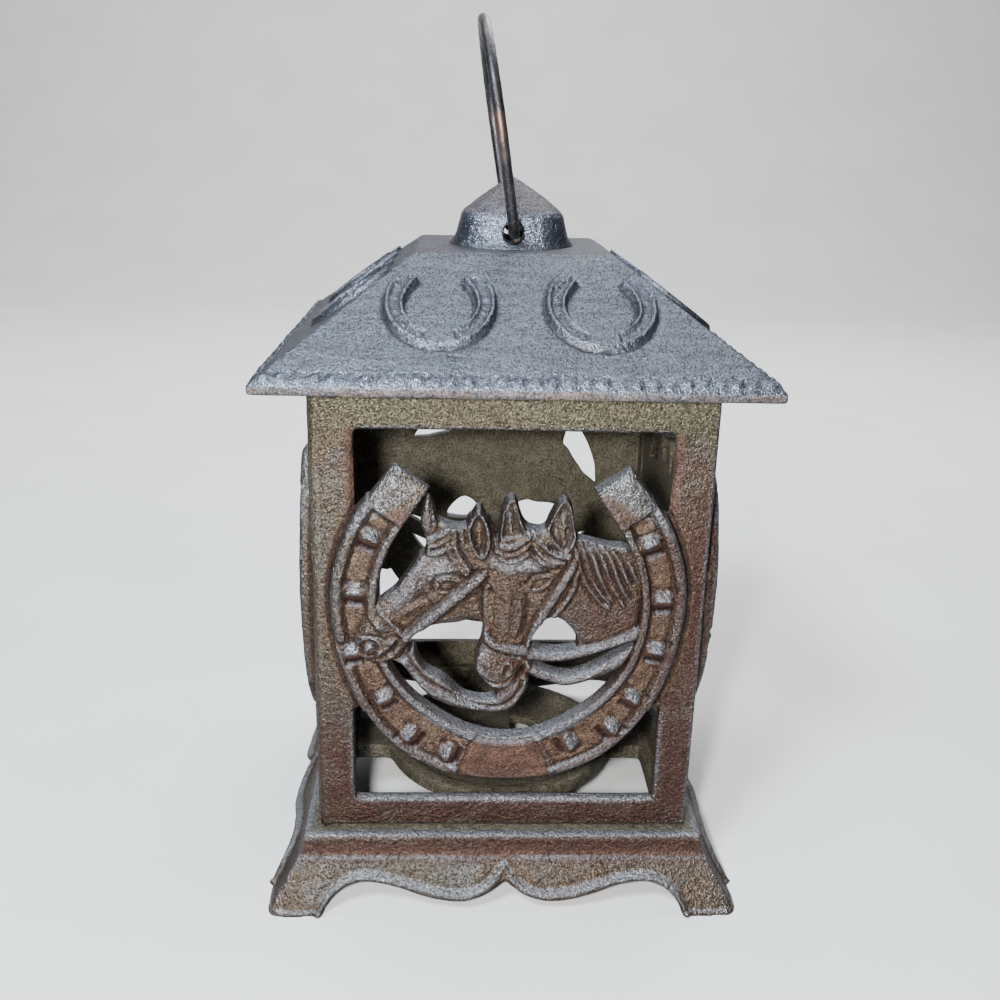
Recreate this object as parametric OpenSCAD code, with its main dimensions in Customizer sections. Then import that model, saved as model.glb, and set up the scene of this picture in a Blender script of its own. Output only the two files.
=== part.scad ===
// Cast iron garden lantern: square pagoda form, horse heads in a horseshoe on
// each side, hollow pyramid roof with a domed finial and a wire bail.
// Origin: centre of the footprint, on the ground. The door side faces -Y.

/* [Body] */
// Width of the front and back panels
body_w = 128; // [124:1:132]
// Outer face of the side panels, from the centre
side_x = 65; // [65:0.5:66]
// Thickness of a panel
panel_t = 5; // [5:0.5:6]
// Height of the base plate's top above the ground
plate_z = 24.5; // [24:0.5:26]
// Underside of the roof's seat
seat_z = 181.5; // [181:0.5:183]
// Width of a panel's opening
open_w = 103.4; // [100:0.2:106]
// Bottom of a panel's opening
open_z0 = 35.5; // [34:0.5:37]
// Top of a panel's opening
open_z1 = 167.3; // [164:0.1:169]

/* [Horseshoe and horses] */
// Height of the horseshoe above the panel's face
shoe_rise = 4.5; // [3.5:0.1:5]
// Height of the horse heads above the panel's face
horse_rise = 4.2; // [3:0.1:5]
// Sideways place of the horseshoe
shoe_x = -0.5; // [-1:0.1:1]
// Depth of the nail channel
channel_d = 1.8; // [1:0.1:2.4]

/* [Base] */
// Half width of the base plate
plate_h = 69.5; // [69:0.5:71]
// Half width over the feet
foot_h = 80.5; // [79:0.5:82]
// Thickness of the floor
floor_t = 6; // [5.5:0.5:6.5]
// Outer radius of the candle ring
ring_r = 43.5; // [42:0.5:46]
// Radius of the hole in the candle ring
ring_hole_r = 22; // [20:0.5:26]
// Width of the four floor arms
arm_w = 21.5; // [18:0.5:24]
// Width of the bars across the hole
bar_w = 11.4; // [8:0.2:12]

/* [Roof] */
// Half width of the eaves
eave_h = 78.4; // [77:0.1:80]
// Height of the upper edge of the eaves
eave_z = 184.7; // [184:0.1:186]
// Half width of the flat top
top_h = 32; // [30:0.5:34]
// Height of the flat top
top_z = 218.3; // [216:0.1:220]
// Number of small lobes along each eave
lobes = 31; // [25:1:35]
// Height of the finial's point
apex_z = 240.7; // [239:0.1:242]

/* [Bail] */
// Diameter of the bail's wire
wire_d = 3.6; // [3:0.1:4]
// Diameter of the holes that the bail turns in
bail_hole_d = 6.5; // [6:0.1:7]
// Height of the bail's axis
bail_z = 223.4; // [223:0.1:224]
// Centre line height of the bail above its axis
bail_rise = 67.7; // [60:0.1:75]
// Radius of the bail's upper bow
bail_r = 33; // [30:0.5:35]
// How far the bail leans to the left as it stands
bail_lean = 9.5; // [0:0.5:20]

/* [Door] */
// Radius of the door's cast pintles
pintle_r = 2; // [1.8:0.05:2.1]
// Radial play of a pintle in its hole
pintle_play = 0.06; // [0.03:0.01:0.1]

/* [Hidden] */
$fn = 64;
e = 0.01;
half_w = body_w / 2;
side_half = half_w - panel_t - 0.3;           // half length of a side panel
pivot = half_w - panel_t / 2;                 // door axis, from the centre
slope = (top_z - eave_z) / (eave_h - top_h);  // rise of the roof
screw_at = 35;                                // base screws, from a panel's middle
ear_at = 30;                                  // roof ears, from a panel's middle
iron = [0.20, 0.17, 0.16];
iron_roof = [0.30, 0.30, 0.33];
steel = [0.45, 0.44, 0.43];

// right half of the horseshoe, from the toe up the outside to the heel and
// back down the inside
shoe_half = [
    [0, 45], [10, 45.7], [20, 48.2], [30, 53], [36, 57.5], [41, 62.5],
    [46, 69.3], [50, 77], [53, 85], [55.3, 94], [56.8, 104], [57.2, 112],
    [56.6, 119], [55, 126], [52.5, 133], [50, 138.5], [46.5, 144.5],
    [42.5, 150], [37, 157], [25.5, 149], [29, 144], [33.5, 137.5],
    [37.5, 130.5], [40, 124.5], [41.8, 118], [42.6, 111], [42.4, 104],
    [41.3, 97], [39, 90], [35.5, 83.5], [31, 77.8], [26, 73.3], [20, 69],
    [14, 65.7], [7, 63.3], [0, 62.6]];

// right half of the nail channel, between the toe and the heel
channel_half = [
    [15, 50.5], [22, 52.5], [30, 56.5], [37, 62.5], [43, 70], [47.5, 78.5],
    [50.8, 88], [52.8, 98], [53.8, 108], [53.6, 117], [51.8, 126],
    [49, 134], [46, 140.5], [37.5, 136.5], [41, 130], [43.6, 123],
    [45.4, 115], [45.8, 108], [45.2, 100], [43.3, 91.5], [40, 84],
    [35.5, 77], [30, 71], [23, 66], [16, 62.5], [13.5, 57]];

// nail heads and the holes below them, each as a place on the right branch
// and the turn of the branch there
nails = [[23, 62, 33], [33, 70.5, 50], [41, 79.5, 62], [47.5, 95, 78],
         [49.5, 113.5, 92], [44.5, 132.5, 113]];

left_horse = [
    [-27, 146.5], [-25, 144.5], [-24, 140.5], [-21.5, 138.5], [-18, 137.5],
    [-15, 138], [-14, 141], [-11, 144], [-8.5, 142], [-6.5, 138], [-5, 134],
    [-4, 120], [-6, 104], [-13, 104], [-17, 103], [-22, 102.7], [-26, 101.8],
    [-30, 100.3], [-32.5, 97], [-33.5, 94], [-35, 91.5], [-38, 90],
    [-46, 90], [-49, 92], [-50.6, 95], [-50.3, 99], [-48, 104], [-45, 108],
    [-42.5, 111.5], [-40.5, 113.3], [-37.3, 116], [-34.5, 120],
    [-32, 123.5], [-30, 127], [-27.8, 129], [-27.8, 132], [-28.8, 135.5],
    [-29.3, 139], [-28.8, 143]];

right_horse = [
    [-4.5, 134], [-4, 142], [-2, 146.5], [0.5, 146.5], [2, 143], [4, 138.5],
    [7, 137], [10, 137.5], [11.5, 141], [14, 145.5], [16.5, 146],
    [18.5, 142.5], [20, 137], [21, 134], [25, 133], [31, 131.5],
    [37.5, 130], [42, 118], [42, 104], [40, 98], [30, 96], [22.5, 95],
    [21.8, 98], [20.5, 100.5], [18, 103.3], [15.5, 105], [13, 105],
    [10, 103], [8.5, 101], [7.5, 98.5], [6.5, 94], [5.5, 90], [3.5, 86.5],
    [1, 82.5], [-2, 80.8], [-5, 81], [-8, 83], [-10.7, 86], [-11.6, 90],
    [-11, 94], [-9.5, 98], [-9, 104], [-9.5, 115], [-8, 126]];

left_face = [
    [-29, 126], [-20, 127], [-12, 119], [-22, 108.5], [-31, 101.5],
    [-34, 96], [-38, 91.5], [-45, 91.5], [-49, 95], [-47, 103],
    [-41, 112], [-35, 118]];

right_face = [
    [-8, 126], [0, 124], [9, 125], [12, 119], [8, 108], [5, 97], [4, 88],
    [0, 82], [-6, 82], [-10.5, 88], [-9, 98], [-8.5, 112]];

bridle_left = [[-33.5, 98], [-31, 96.5], [-20.5, 107], [-8.5, 118.5],
               [-9.5, 121.5], [-12, 121], [-24, 110.5]];

bridle_right = [[4.5, 92], [8, 93], [10.5, 104], [16, 115], [21, 127],
                [17.5, 127], [12.5, 116], [7.5, 105]];

rein_bow = [
    [-35, 92], [-31.5, 96], [-30, 92], [-27, 87.5], [-22, 84.5],
    [-18.5, 81.5], [-15.5, 78.5], [-12, 77], [-8, 76.5], [-5, 77.5],
    [-3, 80.5], [1, 83], [5, 88], [7, 84], [6.5, 80.5], [5, 77.5],
    [3, 74], [0, 71.7], [-4, 71], [-9, 71.3], [-15, 72.2], [-20, 73.6],
    [-25, 76], [-29, 79.5], [-32, 83.5], [-35.5, 88.5], [-40, 90.5]];

rein_upper = [
    [5, 91.5], [5, 95.5], [15, 95.2], [22, 96.3], [30, 98], [36, 100.5],
    [42, 103], [42, 98], [36, 95.5], [30, 93], [25, 91.4], [20, 90],
    [13, 89.6]];

rein_lower = [
    [4, 87], [5, 92], [9, 89.5], [14, 87.6], [17, 86.9], [20, 86.9],
    [25, 88.2], [30, 90.8], [36, 94.6], [41, 97], [38, 88], [31.5, 84.5],
    [25, 81.6], [20, 80.3], [17, 80.3], [13, 82], [9, 83.8], [6, 85.5]];

// outline of the cut under the skirt, right half, from the centre cusp
scallop = [
    [0, 9.5], [3, 8], [6, 6.2], [10, 4.7], [15, 3.9], [20, 4.1], [25, 4.9],
    [30, 6], [35, 7.4], [40, 8.7], [45, 9.4], [50, 9.4], [54, 8.4],
    [57, 6.9], [59.5, 4.5], [61, 2], [62, -1], [0, -1]];

// ---------------------------------------------------------------- helpers
module both() { children(); mirror([1, 0, 0]) children(); }

// a flat outline in the panel's plane, solid from depth y0 to depth y1
module slab(points, y0, y1) {
    translate([0, y1, 0]) rotate([90, 0, 0]) linear_extrude(y1 - y0)
        polygon(points);
}

// the solid that a half profile gives when it is seen alike from X and from Y
module square_turned(profile, half) {
    full = concat(profile, [for (i = [len(profile) - 1 : -1 : 0])
                            [-profile[i][0], profile[i][1]]]);
    intersection() {
        translate([0, half, 0]) rotate([90, 0, 0])
            linear_extrude(2 * half) polygon(full);
        translate([-half, 0, 0]) rotate([90, 0, 90])
            linear_extrude(2 * half) polygon(full);
    }
}

// ------------------------------------------------------ one panel's casting
// Front face in the plane y = 0, relief towards -y, back at y = panel_t.
module panel_relief() {
    translate([shoe_x, 0, 0]) {
        difference() {
            union() {
                both() slab(shoe_half, -shoe_rise, panel_t - 1.5);
                slab([[-52.5, 150.5], [-52.5, 138], [-49, 136], [-45, 146]],
                     -0.5, panel_t - 1.5);
                slab([[53.5, 150.5], [53.5, 138], [50, 136], [46, 146]],
                     -0.5, panel_t - 1.5);
            }
            both() slab(channel_half, -shoe_rise - 1, -shoe_rise + channel_d);
            both() for (n = nails)
                translate([n[0], 0, n[1]]) rotate([0, -n[2], 0])
                    translate([-4.6, -1.9, 0]) cube([3.2, 3, 4.2], center = true);
            slab([[-12, 46.4], [12, 46.4], [10.5, 61.4], [-10.5, 61.4]],
                 -shoe_rise - 1, -shoe_rise + 0.9);
        }
        both() for (n = nails)
            translate([n[0], -1.9, n[1]]) rotate([0, -n[2], 0])
                cube([4.4, 4.4, 5.2], center = true);
    }
    slab(left_horse, -horse_rise + 1.2, panel_t - 1.5);
    slab(right_horse, -horse_rise + 1.2, panel_t - 1.5);
    slab(left_face, -horse_rise, 0);
    slab(right_face, -horse_rise - 0.4, 0);
    slab(bridle_left, -horse_rise - 1, 0);
    slab(bridle_right, -horse_rise - 1, 0);
    slab(rein_bow, -horse_rise + 0.4, panel_t - 1.5);
    slab(rein_upper, -horse_rise - 0.6, panel_t - 1.5);
    slab(rein_lower, -horse_rise - 0.2, panel_t - 1.5);
}

module panel_frame(x0, x1, z0, z1) {
    difference() {
        translate([x0, 0, z0]) cube([x1 - x0, panel_t, z1 - z0]);
        translate([-open_w / 2, -1, open_z0])
            cube([open_w, panel_t + 2, open_z1 - open_z0]);
    }
}

// an ear that a roof screw goes through
module ear(x) {
    translate([x - 6, panel_t - 0.5, seat_z - 4]) cube([12, 10.5, 4]);
}

module fixed_panel(half) {
    difference() {
        union() {
            panel_frame(-half, half, plate_z, seat_z);
            panel_relief();
            ear(-ear_at);
            ear(ear_at);
        }
        for (s = [-1, 1]) {
            translate([s * ear_at, panel_t + 5, seat_z - 5])
                cylinder(h = 6, r = 2.25);
            translate([s * screw_at, panel_t / 2, plate_z - 1])
                cylinder(h = 9, r = 1.52);
        }
    }
}

module back_panel() {
    color(iron) rotate([0, 0, 180]) translate([0, -half_w, 0])
        fixed_panel(half_w);
}

module left_panel() {
    color(iron) rotate([0, 0, -90]) translate([0, -side_x, 0])
        fixed_panel(side_half);
}

module right_panel() {
    color(iron) rotate([0, 0, 90]) translate([0, -side_x, 0])
        fixed_panel(side_half);
}

// The door is the same casting with a round hinge edge and two pintles, and
// without the ears.
module front_door() {
    z0 = plate_z + 0.4;
    z1 = seat_z - 0.4;
    color(iron) {
        translate([0, -half_w, 0]) {
            panel_frame(-pivot, half_w, z0, z1);
            panel_relief();
        }
        translate([-pivot, -pivot, z0]) cylinder(h = z1 - z0, r = panel_t / 2);
        translate([-pivot, -pivot, plate_z - 5]) cylinder(h = 6, r = pintle_r);
        translate([-pivot, -pivot, plate_z + 0.05]) cylinder(h = 1, r = 2.4);
        translate([-pivot, -pivot, z1 - 1]) cylinder(h = 6.5, r = pintle_r);
    }
}

// ------------------------------------------------------------------- base
module skirt_solid(inset, z_top) {
    square_turned([
        [foot_h - inset, inset > 0 ? -1 : 0], [foot_h - 0.2 - inset, 1.5],
        [foot_h - 2 - inset, 4.5],
        [foot_h - 4.3 - inset, 8.5], [foot_h - 6.6 - inset, 12.5],
        [foot_h - 9.2 - inset, 16.5],
        [plate_h + 0.8 - inset, 18.5], [plate_h + 0.5 - inset, z_top - 1.5],
        [plate_h - 1 - inset, z_top]], foot_h);
}

module floor_plan() {
    difference() {
        square(2 * (plate_h - 2), center = true);
        difference() {
            square(113, center = true);
            circle(r = ring_r, $fn = 128);
            square([arm_w, 200], center = true);
            square([200, arm_w], center = true);
        }
        circle(r = ring_r - 1, $fn = 128);
    }
}

module base() {
    under = plate_z - floor_t;
    color(iron) difference() {
        union() {
            difference() {
                skirt_solid(0, plate_z);
                difference() {
                    skirt_solid(4, plate_z - 0.2);
                    translate([-90, -90, under]) cube([180, 180, 20]);
                }
                translate([-58, -58, under - 1]) cube([116, 116, floor_t + 2]);
                for (a = [0, 90]) rotate([0, 0, a]) {
                    translate([0, 90, 0]) rotate([90, 0, 0])
                        linear_extrude(180) both() polygon(scallop);
                }
            }
            translate([0, 0, under]) linear_extrude(floor_t) floor_plan();
            // candle ring, dished towards its hole
            rotate_extrude($fn = 128) polygon([
                [ring_hole_r, under - 2], [ring_hole_r, under + 1.5],
                [30, under + 2.4], [35.5, under + 3.6], [37.5, plate_z],
                [ring_r, plate_z], [ring_r, under], [39.5, under],
                [37.5, under - 2]]);
            translate([-bar_w / 2, -ring_hole_r - 2, under - 2])
                cube([bar_w, 2 * ring_hole_r + 4, 3.5]);
            translate([-ring_hole_r - 2, -bar_w / 2, under - 2])
                cube([2 * ring_hole_r + 4, bar_w, 3.5]);
        }
        // lower door bearing
        translate([-pivot, -pivot, under - 1])
            cylinder(h = floor_t + 2, r = pintle_r + pintle_play);
        // clearance holes for the base screws
        for (p = base_screw_places()) translate([p[0], p[1], under - 1])
            cylinder(h = floor_t + 2, r = 1.75);
    }
}

// ------------------------------------------------------------------- roof
module roof_shoe() {
    // a small horseshoe on the slope, drawn flat, ends up
    k = 0.303;
    difference() {
        linear_extrude(2.2) polygon([for (p = concat(shoe_half,
            [for (i = [len(shoe_half) - 1 : -1 : 0])
             [-shoe_half[i][0], shoe_half[i][1]]])) [p[0] * k, p[1] * k]]);
        translate([0, 0, 1.5]) linear_extrude(2) {
            polygon([for (p = channel_half) [p[0] * k, p[1] * k]]);
            mirror([1, 0, 0])
                polygon([for (p = channel_half) [p[0] * k, p[1] * k]]);
        }
    }
}

module roof_face() {
    // shapes on the front slope; x across, and up the slope from the eave
    ang = atan(slope);
    translate([0, -eave_h, eave_z]) rotate([ang, 0, 0]) {
        for (x = [-24.5, 25.5]) translate([x, 0.5, -0.8]) roof_shoe();
    }
    pitch = 2 * (eave_h - 1.5) / lobes;
    for (i = [0 : lobes - 1])
        translate([-eave_h + 1.5 + pitch * (i + 0.5), -eave_h + 2.6, eave_z + 1.2])
            rotate([ang, 0, 0]) cylinder(h = 1.6, r = pitch * 0.36, center = true, $fn = 16);
}

module roof() {
    inner = 4.9;
    color(iron_roof) difference() {
        union() {
            difference() {
                square_turned([
                    [eave_h - 1.2, seat_z], [eave_h, seat_z + 1.2],
                    [eave_h, eave_z - 0.6], [eave_h - 1.4, eave_z + 0.7],
                    [top_h, top_z]], eave_h);
                square_turned([
                    [eave_h - (seat_z - eave_z + inner) / slope + 1.4, seat_z - 1],
                    [top_h, top_z - inner]], eave_h);
            }
            // seat on the panels, with the upper door bearing
            intersection() {
                difference() {
                    translate([-66, -66, seat_z]) cube([132, 132, 20]);
                    translate([-56, -56, seat_z - 1]) cube([112, 112, 30]);
                }
                square_turned([
                    [eave_h - 2, seat_z], [eave_h - 2, eave_z - 0.6],
                    [top_h, top_z - 1.5]], eave_h);
            }
            for (p = roof_screw_places()) translate([p[0], p[1], seat_z])
                cylinder(h = 11, r = 5.5);
            for (a = [0 : 90 : 270]) rotate([0, 0, a]) roof_face();
            // finial
            rotate_extrude($fn = 96) polygon([
                [0, apex_z], [1.8, apex_z - 0.5], [7.8, apex_z - 4.2],
                [12.6, apex_z - 7.6], [16, apex_z - 10.2],
                [17.3, apex_z - 11.6], [18.1, apex_z - 14.4],
                [19, apex_z - 17.8], [19.6, apex_z - 19.8],
                [20.6, apex_z - 21.4], [21.6, top_z], [21.6, top_z - 2],
                [0, top_z - 2]]);
        }
        // hollow of the finial, open to the roof
        rotate_extrude($fn = 96) polygon([
            [0, apex_z - 5.5], [6, apex_z - 8.5], [13.6, apex_z - 13],
            [14.6, apex_z - 16], [15.5, top_z - 6], [0, top_z - 6]]);
        // the bail's two holes
        translate([0, 30, bail_z]) rotate([90, 0, 0])
            cylinder(h = 60, d = bail_hole_d);
        // upper door bearing
        translate([-pivot, -pivot, seat_z - 1])
            cylinder(h = 7.5, r = pintle_r + pintle_play);
        // tapped holes for the roof screws
        for (p = roof_screw_places()) translate([p[0], p[1], seat_z - 1])
            cylinder(h = 9, r = 2.02);
    }
}

// ------------------------------------------------------------------- bail
// One wire: inward ends in the finial, a bend, a leg leaning out, and a bow.
module bail_handle() {
    r = wire_d / 2;
    br = 6;                                  // bend radius at the foot
    lean = 15;                               // how far a leg leans outwards
    lap = 0.3;                               // how far a bend runs into the straight
    rb = r - 0.02;                           // bends drawn down a hair when bent
    vc = bail_rise - bail_r;                 // bow centre above the axis
    ax = bail_r * cos(lean);
    az = vc - bail_r * sin(lean);
    bz = br - br * sin(lean);                // top of the foot bend
    run = (az - bz) / cos(lean);             // straight part of a leg
    bx = ax - run * sin(lean);
    fx = bx - br * cos(lean);                // start of the foot bend
    eb = asin(lap / bail_r);
    es = asin(lap / br);
    color(steel) translate([0, 0, bail_z]) rotate([0, -bail_lean, 0])
    rotate([0, 0, 90]) {
        // bow
        translate([0, 0, vc]) rotate([90, 0, 0]) rotate([0, 0, -lean - eb])
            rotate_extrude(angle = 180 + 2 * lean + 2 * eb, $fn = 180)
                translate([bail_r, 0]) circle(r = rb, $fn = 48);
        both() {
            // leg
            translate([bx, 0, bz]) rotate([0, lean, 0])
                cylinder(h = run, r = r, $fn = 48);
            // foot bend
            translate([fx, 0, br]) rotate([90, 0, 0]) rotate([0, 0, -90 - es])
                rotate_extrude(angle = 90 - lean + 2 * es, $fn = 180)
                    translate([br, 0]) circle(r = rb, $fn = 48);
            // inward end
            translate([11, 0, 0]) rotate([0, 90, 0])
                cylinder(h = fx - 11, r = r, $fn = 48);
        }
    }
}

// ---------------------------------------------------------------- fasteners
function base_screw_places() = [
    [-screw_at, half_w - panel_t / 2], [screw_at, half_w - panel_t / 2],
    [-side_x + panel_t / 2, -screw_at], [-side_x + panel_t / 2, screw_at],
    [side_x - panel_t / 2, -screw_at], [side_x - panel_t / 2, screw_at]];

function roof_screw_places() = [
    [-ear_at, half_w - panel_t - 5], [ear_at, half_w - panel_t - 5],
    [-side_x + panel_t + 5, -ear_at], [-side_x + panel_t + 5, ear_at],
    [side_x - panel_t - 5, -ear_at], [side_x - panel_t - 5, ear_at]];

// a pan head screw, head down, with its seat at z = 0 and a slot
module screw(shank_r, shank_l, head_r, head_h) {
    difference() {
        union() {
            cylinder(h = shank_l - 0.6, r = shank_r);
            translate([0, 0, shank_l - 0.6 - e])
                cylinder(h = 0.6, r1 = shank_r, r2 = shank_r - 0.5);
            rotate_extrude() polygon([
                [0, 0], [head_r, 0], [head_r, -head_h * 0.55],
                [head_r * 0.8, -head_h * 0.9], [head_r * 0.5, -head_h],
                [0, -head_h]]);
        }
        translate([-head_r - 1, -0.45, -head_h - 1])
            cube([2 * head_r + 2, 0.9, 1 + head_h * 0.45]);
    }
}

module base_screws() {
    color(steel) for (p = base_screw_places())
        translate([p[0], p[1], plate_z - floor_t]) screw(1.5, 13, 2.8, 2.1);
}

module roof_screws() {
    color(steel) for (p = roof_screw_places())
        translate([p[0], p[1], seat_z - 4]) screw(2, 11.5, 3.6, 2.5);
}

base();
front_door();
back_panel();
left_panel();
right_panel();
roof();
bail_handle();
base_screws();
roof_screws();
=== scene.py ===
import math

import bmesh
import bpy
import numpy as np
from mathutils import Matrix, Vector


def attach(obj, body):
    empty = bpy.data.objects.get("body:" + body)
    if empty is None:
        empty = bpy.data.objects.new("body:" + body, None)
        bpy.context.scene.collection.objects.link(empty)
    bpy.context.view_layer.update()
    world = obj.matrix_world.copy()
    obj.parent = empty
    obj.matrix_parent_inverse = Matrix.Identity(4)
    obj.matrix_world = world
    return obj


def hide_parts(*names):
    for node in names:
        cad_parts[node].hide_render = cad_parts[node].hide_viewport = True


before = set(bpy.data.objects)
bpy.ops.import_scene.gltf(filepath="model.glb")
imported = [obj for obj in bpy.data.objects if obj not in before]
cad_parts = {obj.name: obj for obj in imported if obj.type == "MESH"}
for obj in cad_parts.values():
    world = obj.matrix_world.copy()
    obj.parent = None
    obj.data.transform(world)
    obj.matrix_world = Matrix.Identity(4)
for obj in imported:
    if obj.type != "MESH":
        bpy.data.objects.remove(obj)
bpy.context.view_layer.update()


# ------------------------------------------------------- drawing in two axes
# Lengths in this part are millimetres. A panel is drawn in its own plane: x to
# the right seen from outside, z up, and a height d out of the outer face.
class Grid:
    def __init__(self, x0, x1, z0, z1, g):
        self.g = g
        self.xs = x0 + g * np.arange(int(round((x1 - x0) / g)) + 1)
        self.zs = z0 + g * np.arange(int(round((z1 - z0) / g)) + 1)
        self.X, self.Z = (a.astype(np.float32) for a in np.meshgrid(self.xs, self.zs))

    def full(self, v):
        return np.full(self.X.shape, v, np.float32)

    def win(self, pts, m):
        lo, hi = pts[:, :2].min(0) - m, pts[:, :2].max(0) + m
        i0, j0 = (max(0, int((lo[k] - (self.xs, self.zs)[k][0]) / self.g)) for k in (0, 1))
        i1, j1 = (int((hi[k] - (self.xs, self.zs)[k][0]) / self.g) + 2 for k in (0, 1))
        return slice(j0, max(j1, j0 + 1)), slice(i0, max(i1, i0 + 1))


def smax(a, b, k):
    return 0.5 * (a + b + np.sqrt((a - b) ** 2 + k * k))


def smin(a, b, k):
    return 0.5 * (a + b - np.sqrt((a - b) ** 2 + k * k))


def step(a, b, x):
    t = np.clip((x - a) / (b - a), 0, 1)
    return t * t * (3 - 2 * t)


def spline(pts, closed=False, n=5):
    p = np.array(pts, float)
    m = len(p)
    if m == 2 and not closed:
        return p
    out = []
    for i in range(m if closed else m - 1):
        if closed:
            a, b, c, d = (p[(i + j) % m] for j in (-1, 0, 1, 2))
        else:
            b, c = p[i], p[i + 1]
            a = p[i - 1] if i else 2 * b - c
            d = p[i + 2] if i + 2 < m else 2 * c - b
        for j in range(n):
            t = j / n
            out.append(0.5 * (2 * b + (c - a) * t + (2 * a - 5 * b + 4 * c - d) * t * t
                              + (3 * b - a - 3 * c + d) * t ** 3))
    if not closed:
        out.append(p[-1])
    return np.array(out)


def near(G, P, sl):
    X, Z = G.X[sl], G.Z[sl]
    best = np.full(X.shape, 1e9, np.float32)
    par = np.zeros(X.shape, np.float32)
    for i in range(len(P) - 1):
        ax, az = P[i, :2]
        dx, dz = P[i + 1, :2] - P[i, :2]
        L = max(dx * dx + dz * dz, 1e-9)
        t = np.clip(((X - ax) * dx + (Z - az) * dz) / L, 0, 1)
        q = (X - ax - t * dx) ** 2 + (Z - az - t * dz) ** 2
        c = q < best
        best = np.where(c, q, best)
        par = np.where(c, i + t, par)
    return np.sqrt(best), par


def inside(G, pts, smooth=True, m=6.0, n=5):
    """Signed distance to a closed outline, positive inside, -m and less far off."""
    P = spline(pts, True, n) if smooth else np.array(pts, float)
    P = np.vstack([P, P[:1]])
    sl = G.win(P, m)
    d, _ = near(G, P, sl)
    X, Z = G.X[sl], G.Z[sl]
    ins = np.zeros(X.shape, bool)
    for i in range(len(P) - 1):
        (ax, az), (bx, bz) = P[i, :2], P[i + 1, :2]
        if az != bz:
            ins ^= ((az > Z) != (bz > Z)) & (X < (bx - ax) * (Z - az) / (bz - az) + ax)
    out = G.full(-m)
    out[sl] = np.maximum(np.where(ins, d, -d), -m)
    return out


def columns(P, par, k):
    i = np.clip(par.astype(int), 0, len(P) - 2)
    t = par - i
    return P[i, k] * (1 - t) + P[i + 1, k] * t


def tube(G, H, pts, r, top, k=0.35, squash=1.0):
    """A round strap or strand lying on the relief; a point may carry its own r and top."""
    P = spline(pts)
    rm = P[:, 2].max() if P.shape[1] > 2 else r
    sl = G.win(P, rm + 1)
    d, par = near(G, P, sl)
    R = columns(P, par, 2) if P.shape[1] > 2 else r
    T = columns(P, par, 3) if P.shape[1] > 3 else top
    z = T - squash * (R - np.sqrt(np.maximum(R * R - d * d, 0))) - 4 * np.maximum(d - R, 0)
    H[sl] = np.maximum(H[sl], smax(H[sl], z, k) - 0.5 * k * np.exp(-((H[sl] - z) / k) ** 2))


def bump(G, H, pts, w, h):
    """Raises (or with h < 0 carves) a soft line."""
    P = spline(pts)
    wm = P[:, 2].max() if P.shape[1] > 2 else w
    sl = G.win(P, wm + 0.5)
    d, par = near(G, P, sl)
    W = columns(P, par, 2) if P.shape[1] > 2 else w
    H[sl] += h * np.cos(np.clip(d / W, 0, 1) * np.pi / 2) ** 2


def blob(G, H, x, z, rx, rz, h, ang=0.0, p=1.0):
    """Raises a soft round spot."""
    R = max(rx, rz)
    sl = G.win(np.array([[x, z]]), R + 0.5)
    c, s = math.cos(math.radians(ang)), math.sin(math.radians(ang))
    X, Z = G.X[sl] - x, G.Z[sl] - z
    e = np.sqrt(((X * c + Z * s) / rx) ** 2 + ((-X * s + Z * c) / rz) ** 2)
    H[sl] += h * (0.5 + 0.5 * np.cos(np.pi * np.clip(e, 0, 1))) ** p


def block(G, H, x, z, lx, lz, ang, prof):
    """Applies prof(u, v, H) on a turned rectangle's own axes, u across and v along, each -1..1."""
    R = max(lx, lz) * 1.6 + 1
    sl = G.win(np.array([[x, z]]), R)
    c, s = math.cos(math.radians(ang)), math.sin(math.radians(ang))
    X, Z = G.X[sl] - x, G.Z[sl] - z
    H[sl] = prof((X * c + Z * s) / (lx / 2), (-X * s + Z * c) / (lz / 2), H[sl])


def plate(G, ctrl, smooth=0.02):
    """A smooth surface through given heights: thin plate spline."""
    c = np.array(ctrl, float)
    n = len(c)
    d = np.sqrt(((c[:, None, :2] - c[None, :, :2]) ** 2).sum(-1))
    K = np.where(d > 0, d * d * np.log(d + 1e-12), 0) + smooth * 10 * np.eye(n)
    P = np.hstack([np.ones((n, 1)), c[:, :2]])
    A = np.block([[K, P], [P.T, np.zeros((3, 3))]])
    w = np.linalg.solve(A, np.concatenate([c[:, 2], np.zeros(3)]))
    sl = G.win(c, 6)
    X, Z = G.X[sl], G.Z[sl]
    out = w[n] + w[n + 1] * X + w[n + 2] * Z
    for i in range(n):
        q = (X - c[i, 0]) ** 2 + (Z - c[i, 1]) ** 2
        out = out + w[i] * 0.5 * q * np.log(q + 1e-9)
    H = G.full(-9)
    H[sl] = out
    return H


def soft_edge(S, r):
    """How far a surface with a rounded rim of radius r has dropped, S inside its outline."""
    t = np.clip(S, 0, r)
    return r - np.sqrt(np.maximum(r * r - (r - t) ** 2, 0))


TABLE = np.random.RandomState(7).uniform(-1, 1, (4, 24, 24, 24)).astype(np.float32)


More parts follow.
